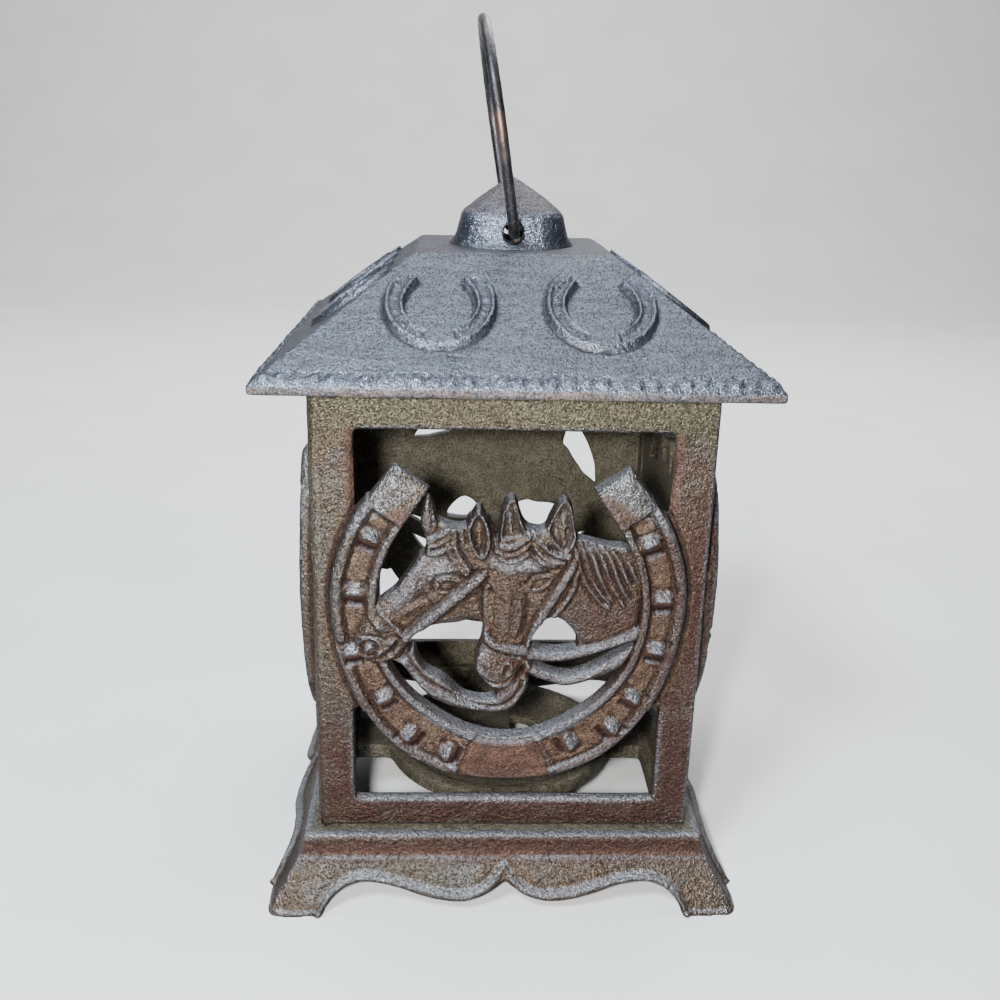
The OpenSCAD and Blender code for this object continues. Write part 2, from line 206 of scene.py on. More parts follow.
def wavy(X, Y, seed, size, octaves=2, Z=None):
    """Smooth seeded unevenness between about -1 and 1, features about size across."""
    X, Y = np.asarray(X, np.float32), np.asarray(Y, np.float32)
    Z = X * 0 + seed * 3.7 if Z is None else np.asarray(Z, np.float32)
    out, amp, tot = 0, 1.0, 0.0
    for o in range(octaves):
        k = 2.0 ** o / size
        u = (0.82 * X - 0.54 * Y + 0.19 * Z) * k + seed * 1.37 + o * 5.1
        v = (0.50 * X + 0.80 * Y + 0.33 * Z) * k + seed * 2.11 + o * 3.3
        w = (-0.30 * X - 0.19 * Y + 0.93 * Z) * k + seed * 0.73 + o * 7.7
        T = TABLE[(seed + o) % 4]
        iu, iv, iw = (np.floor(q).astype(int) for q in (u, v, w))
        fu, fv, fw = u - iu, v - iv, w - iw
        fu, fv, fw = (q * q * (3 - 2 * q) for q in (fu, fv, fw))
        n = 0
        for a in (0, 1):
            for b in (0, 1):
                for c in (0, 1):
                    n = n + T[(iu + a) % 24, (iv + b) % 24, (iw + c) % 24] * (
                        (fu if a else 1 - fu) * (fv if b else 1 - fv) * (fw if c else 1 - fw))
        out = out + amp * n
        tot += amp
        amp *= 0.55
    return out / tot * 1.6


def blur(a, s):
    """Gaussian blur by s cells, with plain numpy."""
    if s <= 0:
        return a
    r = int(3 * s) + 1
    k = np.exp(-0.5 * (np.arange(-r, r + 1) / s) ** 2)
    k /= k.sum()
    for ax in (0, 1):
        p = np.pad(a, [(r, r) if i == ax else (0, 0) for i in (0, 1)], mode="edge")
        n = a.shape[ax]
        a = sum(k[i] * (p[i:i + n] if ax == 0 else p[:, i:i + n]) for i in range(2 * r + 1))
    return a


# -------------------------------------------------------------------- meshing
def nets(f, origin, h):
    """Quads round the solid f > 0. f is indexed x, y, z; the result is in mm."""
    n = f.shape
    pos = np.zeros((n[0] - 1, n[1] - 1, n[2] - 1, 3), np.float32)
    cnt = np.zeros((n[0] - 1, n[1] - 1, n[2] - 1), np.float32)
    sign = f > 0
    edges = []
    for ax in range(3):
        lo = [slice(None)] * 3
        hi = [slice(None)] * 3
        lo[ax], hi[ax] = slice(0, -1), slice(1, None)
        a, b = f[tuple(lo)], f[tuple(hi)]
        I = np.nonzero(sign[tuple(lo)] != sign[tuple(hi)])
        t = a[I] / (a[I] - b[I])
        p = np.stack(I, 1).astype(np.float32)
        p[:, ax] += t
        o = [k for k in range(3) if k != ax]
        keep = np.ones(len(t), bool)
        for k in o:
            keep &= (I[k] > 0) & (I[k] < n[k] - 1)
        for da in (0, 1):
            for db in (0, 1):
                J = list(I)
                J[o[0]] = J[o[0]] - da
                J[o[1]] = J[o[1]] - db
                ok = np.ones(len(t), bool)
                for k in range(3):
                    ok &= (J[k] >= 0) & (J[k] < n[k] - 1)
                flat = np.ravel_multi_index([q[ok] for q in J], cnt.shape)
                cnt.ravel()[:] += np.bincount(flat, minlength=cnt.size).astype(np.float32)
                for c in range(3):
                    pos.reshape(-1, 3)[:, c] += np.bincount(flat, weights=p[ok, c], minlength=cnt.size)
        edges.append((ax, o, [q[keep] for q in I], a[I][keep] > 0))
    used = cnt > 0
    index = np.full(cnt.shape, -1, np.int64)
    index[used] = np.arange(used.sum())
    v = pos[used] / cnt[used][:, None] * h + np.array(origin, np.float32)
    quads = []
    for ax, o, I, up in edges:
        def cell(da, db):
            J = list(I)
            J[o[0]] = J[o[0]] - da
            J[o[1]] = J[o[1]] - db
            return index[tuple(J)]
        q = np.stack([cell(1, 1), cell(0, 1), cell(0, 0), cell(1, 0)], 1)
        flip = ~up if ax != 1 else up
        q[flip] = q[flip][:, ::-1]
        quads.append(q)
    return v, np.vstack(quads)


def look_up(A, x0, z0, g, x, z):
    """Bilinear reading of a field at points."""
    u = np.clip((x - x0) / g, 0, A.shape[1] - 1.001)
    v = np.clip((z - z0) / g, 0, A.shape[0] - 1.001)
    i, j = u.astype(int), v.astype(int)
    s, t = u - i, v - j
    return (A[j, i] * (1 - s) * (1 - t) + A[j, i + 1] * s * (1 - t)
            + A[j + 1, i] * (1 - s) * t + A[j + 1, i + 1] * s * t)




def mirrored(half, dx=0.0):
    return [(x + dx, z) for x, z in half] + [(-x + dx, z) for x, z in half[::-1] if abs(x) > 1e-6]


# ---------------------------------------------------- the panel's cast relief
SHOE_OUT = [(0, 45), (10, 45.7), (20, 48.2), (30, 53), (36, 57.5), (41, 62.5), (46, 69.3), (50, 77),
            (53, 85), (55.3, 94), (56.8, 104), (57.2, 112), (56.6, 119), (55, 126), (52.5, 133),
            (50, 138.5), (46.5, 144.5), (42.5, 150), (37, 157)]
SHOE_IN = [(25.5, 149), (29, 144), (33.5, 137.5), (37.5, 130.5), (40, 124.5), (41.8, 118), (42.6, 111),
           (42.4, 104), (41.3, 97), (39, 90), (35.5, 83.5), (31, 77.8), (26, 73.3), (20, 69),
           (14, 65.7), (7, 63.3), (0, 62.6)]
LEFT_HORSE = [(-27, 146.5), (-25, 144.5), (-24, 140.5), (-21.5, 138.5), (-18, 137.5), (-15, 138), (-14, 141),
              (-11, 144), (-8.5, 142), (-6.5, 138), (-5, 134), (-4, 120), (-6, 104), (-13, 104), (-17, 103),
              (-22, 102.7), (-26, 101.8), (-30, 100.3), (-32.5, 97), (-33.5, 94), (-35, 91.5), (-38, 90),
              (-46, 90), (-49, 92), (-50.6, 95), (-50.3, 99), (-48, 104), (-45, 108), (-42.5, 111.5),
              (-40.5, 113.3), (-37.3, 116), (-34.5, 120), (-32, 123.5), (-30, 127), (-27.8, 129),
              (-27.8, 132), (-28.8, 135.5), (-29.3, 139), (-28.8, 143)]
RIGHT_HORSE = [(-4.5, 134), (-4, 142), (-2, 146.5), (0.5, 146.5), (2, 143), (4, 138.5), (7, 137), (10, 137.5),
               (11.5, 141), (14, 145.5), (16.5, 146), (18.5, 142.5), (20, 137), (21, 134), (25, 133),
               (31, 131.5), (37.5, 130), (42, 118), (42, 104), (40, 98), (30, 96), (22.5, 95), (21.8, 98),
               (20.5, 100.5), (18, 103.3), (15.5, 105), (13, 105), (10, 103), (8.5, 101), (7.5, 98.5),
               (6.5, 94), (5.5, 90), (3.5, 86.5), (1, 82.5), (-2, 80.8), (-5, 81), (-8, 83), (-10.7, 86),
               (-11.6, 90), (-11, 94), (-9.5, 98), (-9, 104), (-9.5, 115), (-8, 126)]
REIN_BOW = [(-35, 92), (-31.5, 96), (-30, 92), (-27, 87.5), (-22, 84.5), (-18.5, 81.5), (-15.5, 78.5),
            (-12, 77), (-8, 76.5), (-5, 77.5), (-3, 80.5), (1, 83), (5, 88), (7, 84), (6.5, 80.5),
            (5, 77.5), (3, 74), (0, 71.7), (-4, 71), (-9, 71.3), (-15, 72.2), (-20, 73.6), (-25, 76),
            (-29, 79.5), (-32, 83.5), (-35.5, 88.5), (-40, 90.5)]
REIN_UPPER = [(5, 91.5), (5, 95.3), (15, 94.6), (22, 95.6), (30, 97.4), (36, 100.2), (42, 103), (42, 98.6),
              (36, 96.2), (30, 93.8), (25, 92.2), (20, 90.8), (13, 90.2)]
REIN_LOWER = [(4, 87), (5, 91.8), (9, 89.0), (14, 86.8), (17, 86.0), (20, 86.0), (25, 87.3), (30, 89.9),
              (36, 93.8), (41, 96.4), (38, 89), (31.5, 85.2), (25, 82.3), (20, 81.0), (17, 81.0), (13, 82.6),
              (9, 83.8), (6, 85.5)]
# nail heads and the holes below them: x, z, turn of the branch, hole's distance down the branch
NAILS = [(-44.5, 134, 66, 6.8), (-50, 115.5, 86, 7.0), (-51.5, 94.2, 99, 6.6), (-41.5, 77.3, 121, 6.2),
         (-33.2, 63.4, 141, 6.6), (-20.6, 56.4, 157, 6.0), (43.7, 132.8, 113, 6.8), (49.5, 113.7, 92, 7.0),
         (48.5, 95.3, 80, 6.6), (42, 77.6, 60, 6.0), (35.5, 66.5, 43, 6.4), (21.8, 60.4, 28, 6.0)]


def panel_fields(g=0.3):
    G = Grid(-66, 66, 22, 184, g)
    X, Z = G.X, G.Z
    off = -0.5
    w1 = wavy(X, Z, 3, 34) * 0.14 + wavy(X, Z, 4, 9) * 0.06
    # frame
    Sf = np.minimum(64 - abs(X), np.minimum(Z - 24.5, 181.5 - Z))
    drafted = step(92, 145, Z)
    qx, qz = abs(X) - (51.7 - 1.2 * drafted) + 2.0, abs(Z - 101.4) - 65.9 + 2.0
    So = np.sqrt(np.maximum(qx, 0) ** 2 + np.maximum(qz, 0) ** 2) + np.minimum(np.maximum(qx, qz), 0) - 2.0
    So = So + 0.15 * wavy(X, Z, 8, 30)
    rim = 0.9 + 1.3 * drafted * (abs(X) > abs(Z - 101.4) * 0.82)
    H = w1 - soft_edge(Sf, 0.9) * 0.8 - soft_edge(So, rim) * 0.85
    Sf = np.minimum(Sf, So)
    # outside the frame, clear the height
    H = np.where(Sf > -1, H, -9)
    S = Sf.copy()

    # webs that tie the shoe to the stiles
    for pts in ([(-54, 159), (-50.8, 159), (-50.2, 152), (-49.7, 146), (-49.2, 143.6), (-48.5, 143.9), (-46, 147),
                 (-40, 142), (-46.4, 71.8), (-48.8, 69.5), (-50.2, 70.2), (-51.3, 70.6), (-54, 70.6)],
                [(54, 150), (51, 150), (50.3, 145), (49.6, 141.9), (48.7, 141.4), (47.6, 142.4), (44, 147.6), (40, 140),
                 (45.4, 72.6), (47.8, 70.3), (49.8, 70.7), (51.2, 71.2), (54, 71.2)]):
        s = inside(G, pts, False)
        S = smax(S, s, 1.0)
        H = np.where((s > -0.6) & (abs(X) < 54), np.maximum(H, w1 - 1.1 - 0.4 * soft_edge(smax(s, Sf, 1), 0.9)), H)

    # horseshoe

    Po = spline([(x + off, z) for x, z in [(-x, z) for x, z in SHOE_OUT[:0:-1]] + SHOE_OUT], n=4)
    Pi = spline([(x + off, z) for x, z in [(-x, z) for x, z in SHOE_IN[:-1]] + SHOE_IN[::-1]], n=4)
    poly = np.vstack([Po, Pi[::-1]])
    s = inside(G, poly, False, m=4)
    so, _ = near(G, Po, (slice(None), slice(None)))
    si, _ = near(G, Pi, (slice(None), slice(None)))
    wide = so + si
    a = (X - off)
    # the profile across a branch: outer rim, channel and inner rim
    ro, ri = 3.2, 3.2
    floor = 2.75 + 0.10 * wavy(X, Z, 12, 8)
    rim_o = 4.40 - 0.13 * (so - 1.4) ** 2 - 0.75 * soft_edge(so, 1.0)
    rim_i = 4.55 - 0.10 * (si - 1.5) ** 2 - 0.75 * soft_edge(si, 1.0)
    prof = np.where(so < si, rim_o, rim_i)
    chan = np.minimum(so - ro, si - ri)
    t = step(-0.45, 0.75, chan)
    prof = prof * (1 - t) + floor * t
    # a fine groove along both edges of the channel
    prof = prof - 0.45 * np.exp(-((chan - 0.75) / 0.42) ** 2)
    # toe block between slanted ends, flat and lower than the rims
    toe = np.maximum(-(X + 10.8) * 0.927 + (Z - 62) * 0.376, (X - 8.4) * 0.919 + (Z - 62) * 0.395)
    toe = np.where(Z < 70, toe, 9)
    tt = step(-0.5, 0.5, toe)
    flat = 3.55 + 0.12 * wavy(X, Z, 21, 7) + 0.006 * (Z - 55) * 4 - 0.5 * soft_edge(so, 1.5)
    flat = np.where(si < 1.3, np.maximum(flat, 4.3 - 0.75 * soft_edge(si, 0.9)), flat)
    web = np.exp(-((toe - 1.7) / 1.5) ** 2) * (chan > -1.2) * 1.1
    prof = np.where(tt < 1, flat * (1 - tt) + prof * tt, prof) + web * tt
    # heel blocks
    for sg, p0, p1 in ((-1, (-44.6, 143.4), (-35.2, 137.0)), (1, (34.0, 136.2), (44.2, 143.6))):
        nx, nz = -(p1[1] - p0[1]), p1[0] - p0[0]
        L = math.hypot(nx, nz)
        d = ((X - p0[0]) * nx + (Z - p0[1]) * nz) / L
        tip = np.array([(sg * 37 + off, 157), (sg * 25.5 + off, 149)])
        dt, _ = near(G, tip, (slice(None), slice(None)))
        blk = 5.15 + 0.12 * wavy(X, Z, 31 + sg, 7) - 0.5 * soft_edge(so, 1.2) - 0.5 * soft_edge(si, 1.2)
        bev = 4.6 if sg < 0 else 3.4
        blk = blk - 1.9 * step(bev + 0.5, -0.4, dt)
        blk = blk - 1.3 * step(4.2, 0, so)
        blk = blk - 0.10 * np.maximum(d, 0) * (sg < 0)
        edge = step(-0.9, 0.3, d)
        m = (Z > 130) & (X * sg > 0)
        prof = np.where(m, prof * (1 - edge) + blk * edge - 0.45 * np.exp(-((d + 0.9) / 0.55) ** 2) * (chan > -2.5), prof)
    prof = prof + 0.06 * wavy(X, Z, 41, 6)
    H = np.where(s > -0.9, np.maximum(H, prof - 3.0 * np.maximum(-s - 0.1, 0)), H)
    S = np.maximum(S, s)
    shoe = s

    # nails
    for x, z, ang, dist in NAILS:
        def prof_nail(u, v, h, _d=dist):
            # v runs down the branch, in head lengths; the hole lies below the head
            y = v * 3.0
            hw = 1 - step(1.02, 1.3, abs(u) + 0.055 * y)
            head = 2.55 + 2.85 * step(-3.0, 1.3, y) - 1.9 * np.maximum(abs(u) - 0.42, 0)
            face = 5.3 - 1.1 * (y - 1.2) - 0.5 * np.maximum(abs(u) - 0.42, 0)
            top = smin(head, face, 0.35)
            floor_y = np.where(y < 4.2, 2.2, 1.0)
            on = step(-3.6, -2.4, y) * (1 - step(_d - 1.6, _d - 0.2, y)) * hw
            h2 = h * (1 - on) + np.maximum(top, np.minimum(h, floor_y)) * on
            return h2
        # axes: v along the branch towards the toe
        block_nail(G, H, x, z, 6.6, ang, prof_nail)
    return G, H, S, shoe, w1


def block_nail(G, H, x, z, wide, ang, prof):
    sl = G.win(np.array([[x, z]]), 13)
    c, s = math.cos(math.radians(ang)), math.sin(math.radians(ang))
    X, Z = G.X[sl] - x, G.Z[sl] - z
    along = X * c + Z * s          # towards the heel
    across = -X * s + Z * c
    H[sl] = prof(across / (wide / 2), -along / 3.0, H[sl])


def cap(G, S, ctrl, r, drop, smooth=0.02):
    """A head's surface through its control heights, rounded off at its outline."""
    s = inside(G, S, True, m=5, n=4)
    P = plate(G, ctrl, smooth)
    t = np.clip(s, 0, r) / r
    return s, P - drop * (1 - np.sqrt(np.maximum(1 - (1 - t) ** 2, 0)))


LH = [(-24, 124, 4.6), (-27.5, 127, 4.2), (-30.5, 122, 4.2), (-22, 122.3, 5.3), (-17.5, 122.5, 4.4),
      (-21, 117.5, 4.2), (-26.5, 119, 4.0), (-28, 113.5, 3.0), (-32.5, 119.5, 4.0), (-31, 116, 4.6), (-36, 111, 4.9),
      (-41, 106.3, 5.0), (-44.5, 103.2, 5.2), (-40.5, 112.5, 3.9), (-46, 106, 3.9), (-49.5, 99.5, 4.4),
      (-46.5, 96.5, 6.0), (-49.3, 94.6, 4.9), (-42.6, 99.3, 5.2), (-39, 96.5, 4.9), (-40, 92.2, 4.7), (-45, 91.5, 4.6),
      (-37, 93.6, 4.2), (-35.5, 97.5, 4.2), (-24, 112, 4.1), (-33, 107, 3.5), (-37, 103, 4.3), (-30.5, 104.3, 3.7),
      (-19, 109.5, 3.7), (-24, 106.5, 3.9), (-15, 106, 3.0), (-13, 112, 3.1), (-9.5, 116, 3.0), (-6, 108, 2.8),
      (-6.5, 124, 3.4), (-21.5, 134.5, 4.2), (-25.5, 131, 4.0), (-17, 130, 4.3), (-11, 124.5, 3.9), (-6, 132, 3.0)]
RH = [(-7, 124.5, 4.9), (0, 125, 4.9), (5, 124, 5.2), (9, 124.2, 4.9), (0, 121.5, 5.4), (-4, 121.5, 5.3),
      (12, 122, 4.4), (4.5, 119.5, 4.4), (9, 117.8, 4.5), (13.5, 118.5, 3.9), (-6.8, 118, 4.5), (-1.5, 115, 5.6),
      (-8.6, 112, 4.2), (-2, 105, 5.5), (-8.2, 103, 4.3), (3.5, 111, 4.6), (4.2, 104, 4.3), (8, 110.5, 4.2),
      (12, 111, 4.1), (7, 103, 3.8), (-3, 99, 5.1), (-6, 95, 4.8), (-5, 88.5, 6.2), (-9.6, 88, 4.9), (1.5, 88.5, 5.4),
      (-4.5, 83.3, 5.2), (0.5, 84.4, 4.6), (3.5, 92, 4.6), (4.6, 97, 4.2), (10, 105, 3.8), (15, 108, 3.5),
      (18, 113, 3.6), (16, 104.5, 3.3), (22, 103, 3.2), (24, 110, 3.4), (32, 104, 3.1), (39, 103, 3.1), (29, 98.5, 3.0),
      (26, 116, 3.6), (33, 115, 3.7), (39, 115, 3.6), (24, 126, 3.9), (31, 127, 4.0), (36, 125, 4.0), (20, 130, 4.2),
      (0, 132, 4.7), (7, 134, 5.2), (12, 131, 4.8), (17, 126, 4.2), (16, 121, 3.9)]


def horses(G, H, S, w1):
    X, Z = G.X, G.Z
    # ---- left head, in profile towards the left
    s, P = cap(G, LEFT_HORSE, LH, 3.2, 1.9)
    L = P
    # the mane's edge and the neck dip towards the right head
    L = L - 0.5 * step(-12, -6, X) * step(104, 110, Z) * (1 - step(116, 122, Z))
    LP = L.copy()
    # groove that parts the cheek from the muzzle, above the noseband
    bump(G, L, [(-44.5, 111.2), (-42, 108.9), (-39.8, 106.2), (-37.3, 103.2), (-34.8, 100.8)], 0.9, -1.2)
    bump(G, L, [(-46.5, 107.3), (-43.6, 104.5), (-40.5, 102.6), (-37.5, 100.9)], 1.7, 0.55)
    # pads of the nose and lips
    blob(G, L, -42.3, 102.8, 3.0, 2.0, 0.7, -35)
    blob(G, L, -46.6, 101.5, 2.2, 2.8, 0.35, -20)
    bump(G, L, [(-48.3, 99.7), (-45.6, 99.9), (-42.6, 99.5), (-40, 98.3)], 0.8, -0.7)
    blob(G, L, -38.3, 97.3, 2.4, 1.8, 0.6, -35)
    # nostril
    bump(G, L, [(-49, 97.0), (-47.2, 98.7), (-44.6, 98.9), (-42.4, 97.2), (-41.8, 94.8), (-43.2, 92.6),
                (-45.6, 91.7), (-48, 92.8), (-49.2, 95)], 1.1, 0.35)
    bump(G, L, [(-42.9, 95.3, 0.7), (-43.9, 97.3, 0.95), (-46, 98, 1.1), (-48, 96.6, 1.1), (-48.1, 94.3, 0.95),
                (-46.6, 92.7, 0.9), (-44.6, 92.6, 0.8), (-43.5, 93.9, 0.6)], 1, -1.25)
    blob(G, L, -45.9, 95.1, 2.4, 1.9, 0.55, 30)
    bump(G, L, [(-46.9, 94.3), (-46.1, 95.9), (-44.9, 96.4)], 0.7, 0.45)
    bump(G, L, [(-45.4, 94.6), (-44.5, 95.2)], 0.6, -0.5)
    # mouth and chin
    bump(G, L, [(-47.5, 90.7), (-43, 91.5), (-40.2, 92.9), (-38, 94.8), (-36.6, 97.3)], 0.8, -1.0)
    bump(G, L, [(-44.5, 90.5), (-40.6, 90.9), (-38, 92.2), (-36.2, 94.6)], 0.9, 0.55)
    bump(G, L, [(-42.3, 93.7), (-40.2, 95.2), (-38.8, 96.9)], 0.7, 0.35)
    # eye: socket, ball and lids
    blob(G, L, -20.4, 117.3, 5.6, 4.0, -0.9, 12)
    blob(G, L, -25.2, 115.6, 2.6, 1.8, -0.6, 40)
    blob(G, L, -20.8, 116.9, 2.4, 1.5, 0.75, 10, 0.7)
    bump(G, L, [(-24.2, 115.9), (-23.0, 117.9), (-21.2, 119.1), (-19.0, 119.2), (-17.2, 118.3)], 0.7, 0.85)
    bump(G, L, [(-24.2, 115.4), (-22.2, 114.7), (-19.6, 114.9), (-17.6, 116.1), (-16.2, 117.6)], 0.6, 0.5)
    bump(G, L, [(-25.6, 117.3), (-24.2, 119.6), (-21.7, 121.1), (-18.6, 121.1), (-15.9, 119.8)], 0.8, -0.75)
    bump(G, L, [(-24.2, 116.3), (-23, 117.9), (-21.1, 118.9), (-18.9, 118.9), (-17.2, 117.9)], 0.45, -0.3)
    bump(G, L, [(-26.5, 119), (-25, 121.8), (-21.5, 123.2), (-17.5, 123)], 1.7, 0.45)
    # cheek bone and the hollow below the eye
    bump(G, L, [(-25.5, 113.2), (-30, 110), (-34.5, 107.3)], 1.8, 0.45)
    blob(G, L, -28.5, 113.0, 3.0, 2.2, -0.5, 30)
    blob(G, L, -33.8, 114.0, 4.5, 1.8, 0.35, -48)
    # jaw, below the strap
    blob(G, L, -21, 105.5, 7, 2.6, 0.35, 12)
    # forelock on the brow
    for pts, w, top in (([(-27.9, 132.2), (-25.6, 133.2), (-22.4, 134.8), (-19.4, 137.3)], 1.35, 5.5),
                        ([(-28.0, 130.7), (-25.6, 130.9), (-22.4, 132.1), (-19.2, 134.9)], 1.15, 5.3),
                        ([(-27.3, 129.0), (-24.8, 128.3), (-21.7, 129.2), (-18.9, 131.9)], 1.2, 5.5)):
        bump(G, L, [(x, z - 1.3) for x, z in pts], 0.9, -0.7)
        tube(G, L, pts, w, top, 0.3)
    for pts, w, top in (([(-18.4, 137.2), (-18.2, 131.5), (-16.7, 127), (-13.8, 122.9)], 1.15, 5.4),
                        ([(-16.2, 137.6), (-15.8, 132), (-14.3, 128), (-11.7, 124.2)], 1.05, 5.0),
                        ([(-13.9, 131.2), (-12.3, 127.3), (-9.8, 124)], 0.95, 4.9),
                        ([(-20.6, 131.4), (-19.6, 127.8), (-17.2, 124.2), (-14.4, 121.4)], 1.0, 5.2),
                        ([(-11.6, 129.5), (-10.2, 126.5), (-8.3, 123.6)], 0.85, 4.6)):
        bump(G, L, [(x - 1.0, z) for x, z in pts], 0.7, -0.55)
        tube(G, L, pts, w, top, 0.3)
    L = LP + 1.35 * (L - LP)
    L = np.where(s > -0.7, L - 3.0 * np.maximum(-s - 0.1, 0), -9)
    # ears
    e1 = [(-27, 147), (-25.2, 144.5), (-24.3, 141), (-23.6, 137.5), (-24.5, 135), (-27, 134.3), (-29, 136),
          (-29.4, 139.5), (-28.8, 143.5)]
    se = inside(G, e1, m=3)
    E = 4.7 - 1.5 * soft_edge(se, 1.9) / 1.9 - 0.9 * step(138, 147, Z) + 0.14 * wavy(X, Z, 51, 3)
    bump(G, E, [(-27.2, 144), (-27, 140), (-26.4, 136.5)], 1.2, 0.45)
    bump(G, E, [(-25.6, 143), (-25.3, 139), (-25.1, 136)], 0.8, -0.5)
    L = np.where(se > -0.5, np.maximum(L, E - 3 * np.maximum(-se, 0)), L)
    bump(G, L, [(-23.2, 138.6), (-24, 135.5), (-26, 133.9), (-28.4, 134.6)], 0.7, -0.6)
    e2 = [(-11, 144.2), (-9.3, 141.5), (-8, 138.5), (-7, 134), (-7.3, 130), (-8.5, 127), (-10.5, 126.5),
          (-12.5, 129), (-14, 132.5), (-14.6, 136.5), (-13.6, 139.5), (-12.3, 142)]
    L = ear(G, L, e2, 5.7, 3.3, 1.15, [(-11, 141.4), (-10.6, 136), (-10.7, 130.6)], 0.6)
    H = np.where(s > -0.7, np.maximum(H, L), H)
    H = np.where(inside(G, e2, m=3) > -0.4, np.maximum(H, L), H)
    S = np.maximum(S, np.maximum(s, np.maximum(se, inside(G, e2, m=3))))

    # ---- right head, from the front
    s2, P = cap(G, RIGHT_HORSE, RH, 3.0, 1.9)
    R = P
    RP = P.copy()
    # flanks of the nose: its two edges and the planes between
    bump(G, R, [(-8.6, 117), (-8.9, 111), (-8.8, 105), (-8.3, 101)], 1.2, 0.55)
    bump(G, R, [(-6.3, 116), (-6.4, 109), (-5.9, 102)], 1.5, -0.45)
    bump(G, R, [(-1.2, 119), (-1.2, 112), (-1.8, 105), (-2.8, 98.5)], 2.6, 0.35)
    bump(G, R, [(2.9, 112), (3.0, 106), (1.6, 100)], 0.9, 0.4)
    bump(G, R, [(4.9, 114.5), (5.3, 108), (4.4, 101)], 1.6, -0.5)
    # brow
    blob(G, R, 0.5, 123.7, 9.5, 3.0, 0.55, 2)
    blob(G, R, -6.9, 124.7, 2.6, 2.1, 0.75)
    blob(G, R, 8.2, 123.6, 3.6, 2.4, 0.7, -15)
    # right eye
    blob(G, R, 8.9, 118.3, 5.2, 3.5, -0.9, 24)
    blob(G, R, 9.0, 118.2, 2.3, 1.2, 0.6, 24, 0.7)
    bump(G, R, [(5.4, 116.9), (6.9, 118.9), (9.2, 120.2), (11.6, 120.6), (13, 120.1)], 0.8, 0.55)
    bump(G, R, [(5.5, 116.2), (7.8, 116.0), (10.4, 117.0), (12.6, 119.1)], 0.6, 0.55)
    bump(G, R, [(4.4, 118.4), (6.1, 120.6), (8.7, 121.9), (11.8, 122.1)], 0.75, -0.8)
    bump(G, R, [(5.9, 117.1), (7.5, 118.8), (9.6, 119.7), (11.6, 119.9)], 0.45, -0.3)
    bump(G, R, [(6.6, 114.6), (9.5, 115), (12.5, 117)], 0.9, -0.35)
    # left eye, seen from its edge
    bump(G, R, [(-8.9, 120.2), (-7.3, 119.1), (-5.9, 117.6), (-5.2, 115.8)], 0.7, 0.75)
    blob(G, R, -7.7, 117.2, 1.7, 1.6, 0.4)
    bump(G, R, [(-6.9, 116.3), (-5.6, 114.9)], 0.8, -0.6)
    # cheek and jaw
    blob(G, R, 9.5, 110.5, 3.4, 5.5, 0.4, 18)
    # muzzle and nostrils
    m = inside(G, [(-11.4, 90), (-10.4, 93.6), (-7.6, 95.3), (-3.5, 94.6), (0.5, 93), (2.3, 90), (2.6, 86.8),
                   (0.6, 83), (-2, 81), (-5.2, 81.1), (-8.2, 83.2), (-10.7, 86.2)], m=4)
    mz = 4.3 + 2.0 * np.sqrt(np.clip(1 - (1 - np.clip(m, 0, 6.2) / 6.2) ** 2, 0, 1))
    R = np.where(m > 0, np.maximum(R, mz), R)
    bump(G, R, [(-11.9, 92.6), (-9.3, 96.4), (-5.2, 96.3), (-1, 94.3), (3.3, 92.6)], 1.0, -1.1)
    bump(G, R, [(-9.6, 90.7), (-7.9, 91.3), (-6.7, 90.1), (-6.7, 88), (-7.6, 86.6)], 0.9, 0.3)
    bump(G, R, [(-9, 89.4), (-8.0, 88.9), (-7.9, 87.2)], 0.75, -0.55)
    bump(G, R, [(-2.6, 87), (-2.6, 89), (-1.6, 90.8), (0.2, 90.6), (0.9, 88.9)], 0.75, 0.6)
    bump(G, R, [(-1.4, 86.6), (-1.1, 88.3), (-0.3, 89.2)], 0.7, -0.9)
    bump(G, R, [(-4.9, 92), (-4.6, 88.5), (-4.1, 85.8)], 1.2, 0.3)
    bump(G, R, [(-9.4, 85.2), (-6.6, 83.7), (-3.6, 83.4), (-0.6, 84.2), (1.7, 86.2)], 0.75, -0.5)
    bump(G, R, [(-8.3, 83.4), (-5.2, 82.1), (-2.2, 82), (0.4, 83.3), (2.4, 85.6)], 0.8, 0.45)
    # mane, combed down from behind the ear
    for pts, w in (([(20.2, 133), (20.8, 128), (22, 123), (24.6, 117.5), (28.4, 112.2), (31.6, 109.6)], 1.25),
                   ([(21.8, 133), (23.4, 127.5), (25.2, 121.5), (28.2, 116), (32, 111.6)], 1.2),
                   ([(23.6, 133), (26, 127.5), (28, 121.5), (30.8, 116), (34.6, 111)], 1.2),
                   ([(25.8, 132.4), (28.8, 127), (30.8, 121.5), (33.2, 116), (36.6, 110.6)], 1.15),
                   ([(28.4, 131.6), (31.6, 126.8), (33.6, 121.5), (35.8, 116.4), (38.8, 111.2)], 1.15),
                   ([(31.2, 131), (34.2, 126.6), (36.2, 121.8), (38.2, 117.4), (40.8, 113.2)], 1.1),
                   ([(34, 130.3), (36.6, 126.8), (38.6, 122.6), (40.6, 118.6)], 1.0)):
        bump(G, R, [(x - 1.35, z - 0.3) for x, z in pts], 0.75, -0.75)
        P2 = [(x, z, w * (0.55 + 0.45 * math.sin(math.pi * min(1, (i + 0.6) / len(pts)))), 4.2 - 0.05 * i + 0.35 * math.sin(9 * pts[0][0] + 1.7 * i))
              for i, (x, z) in enumerate(pts)]
        tube(G, R, P2, w, 4.7, 0.5, 0.8)
    blob(G, R, 30, 111, 7, 2.5, -0.4, -25)
    bump(G, R, [(20.5, 134), (25, 133), (31, 131.6), (37, 130)], 1.6, 0.35)
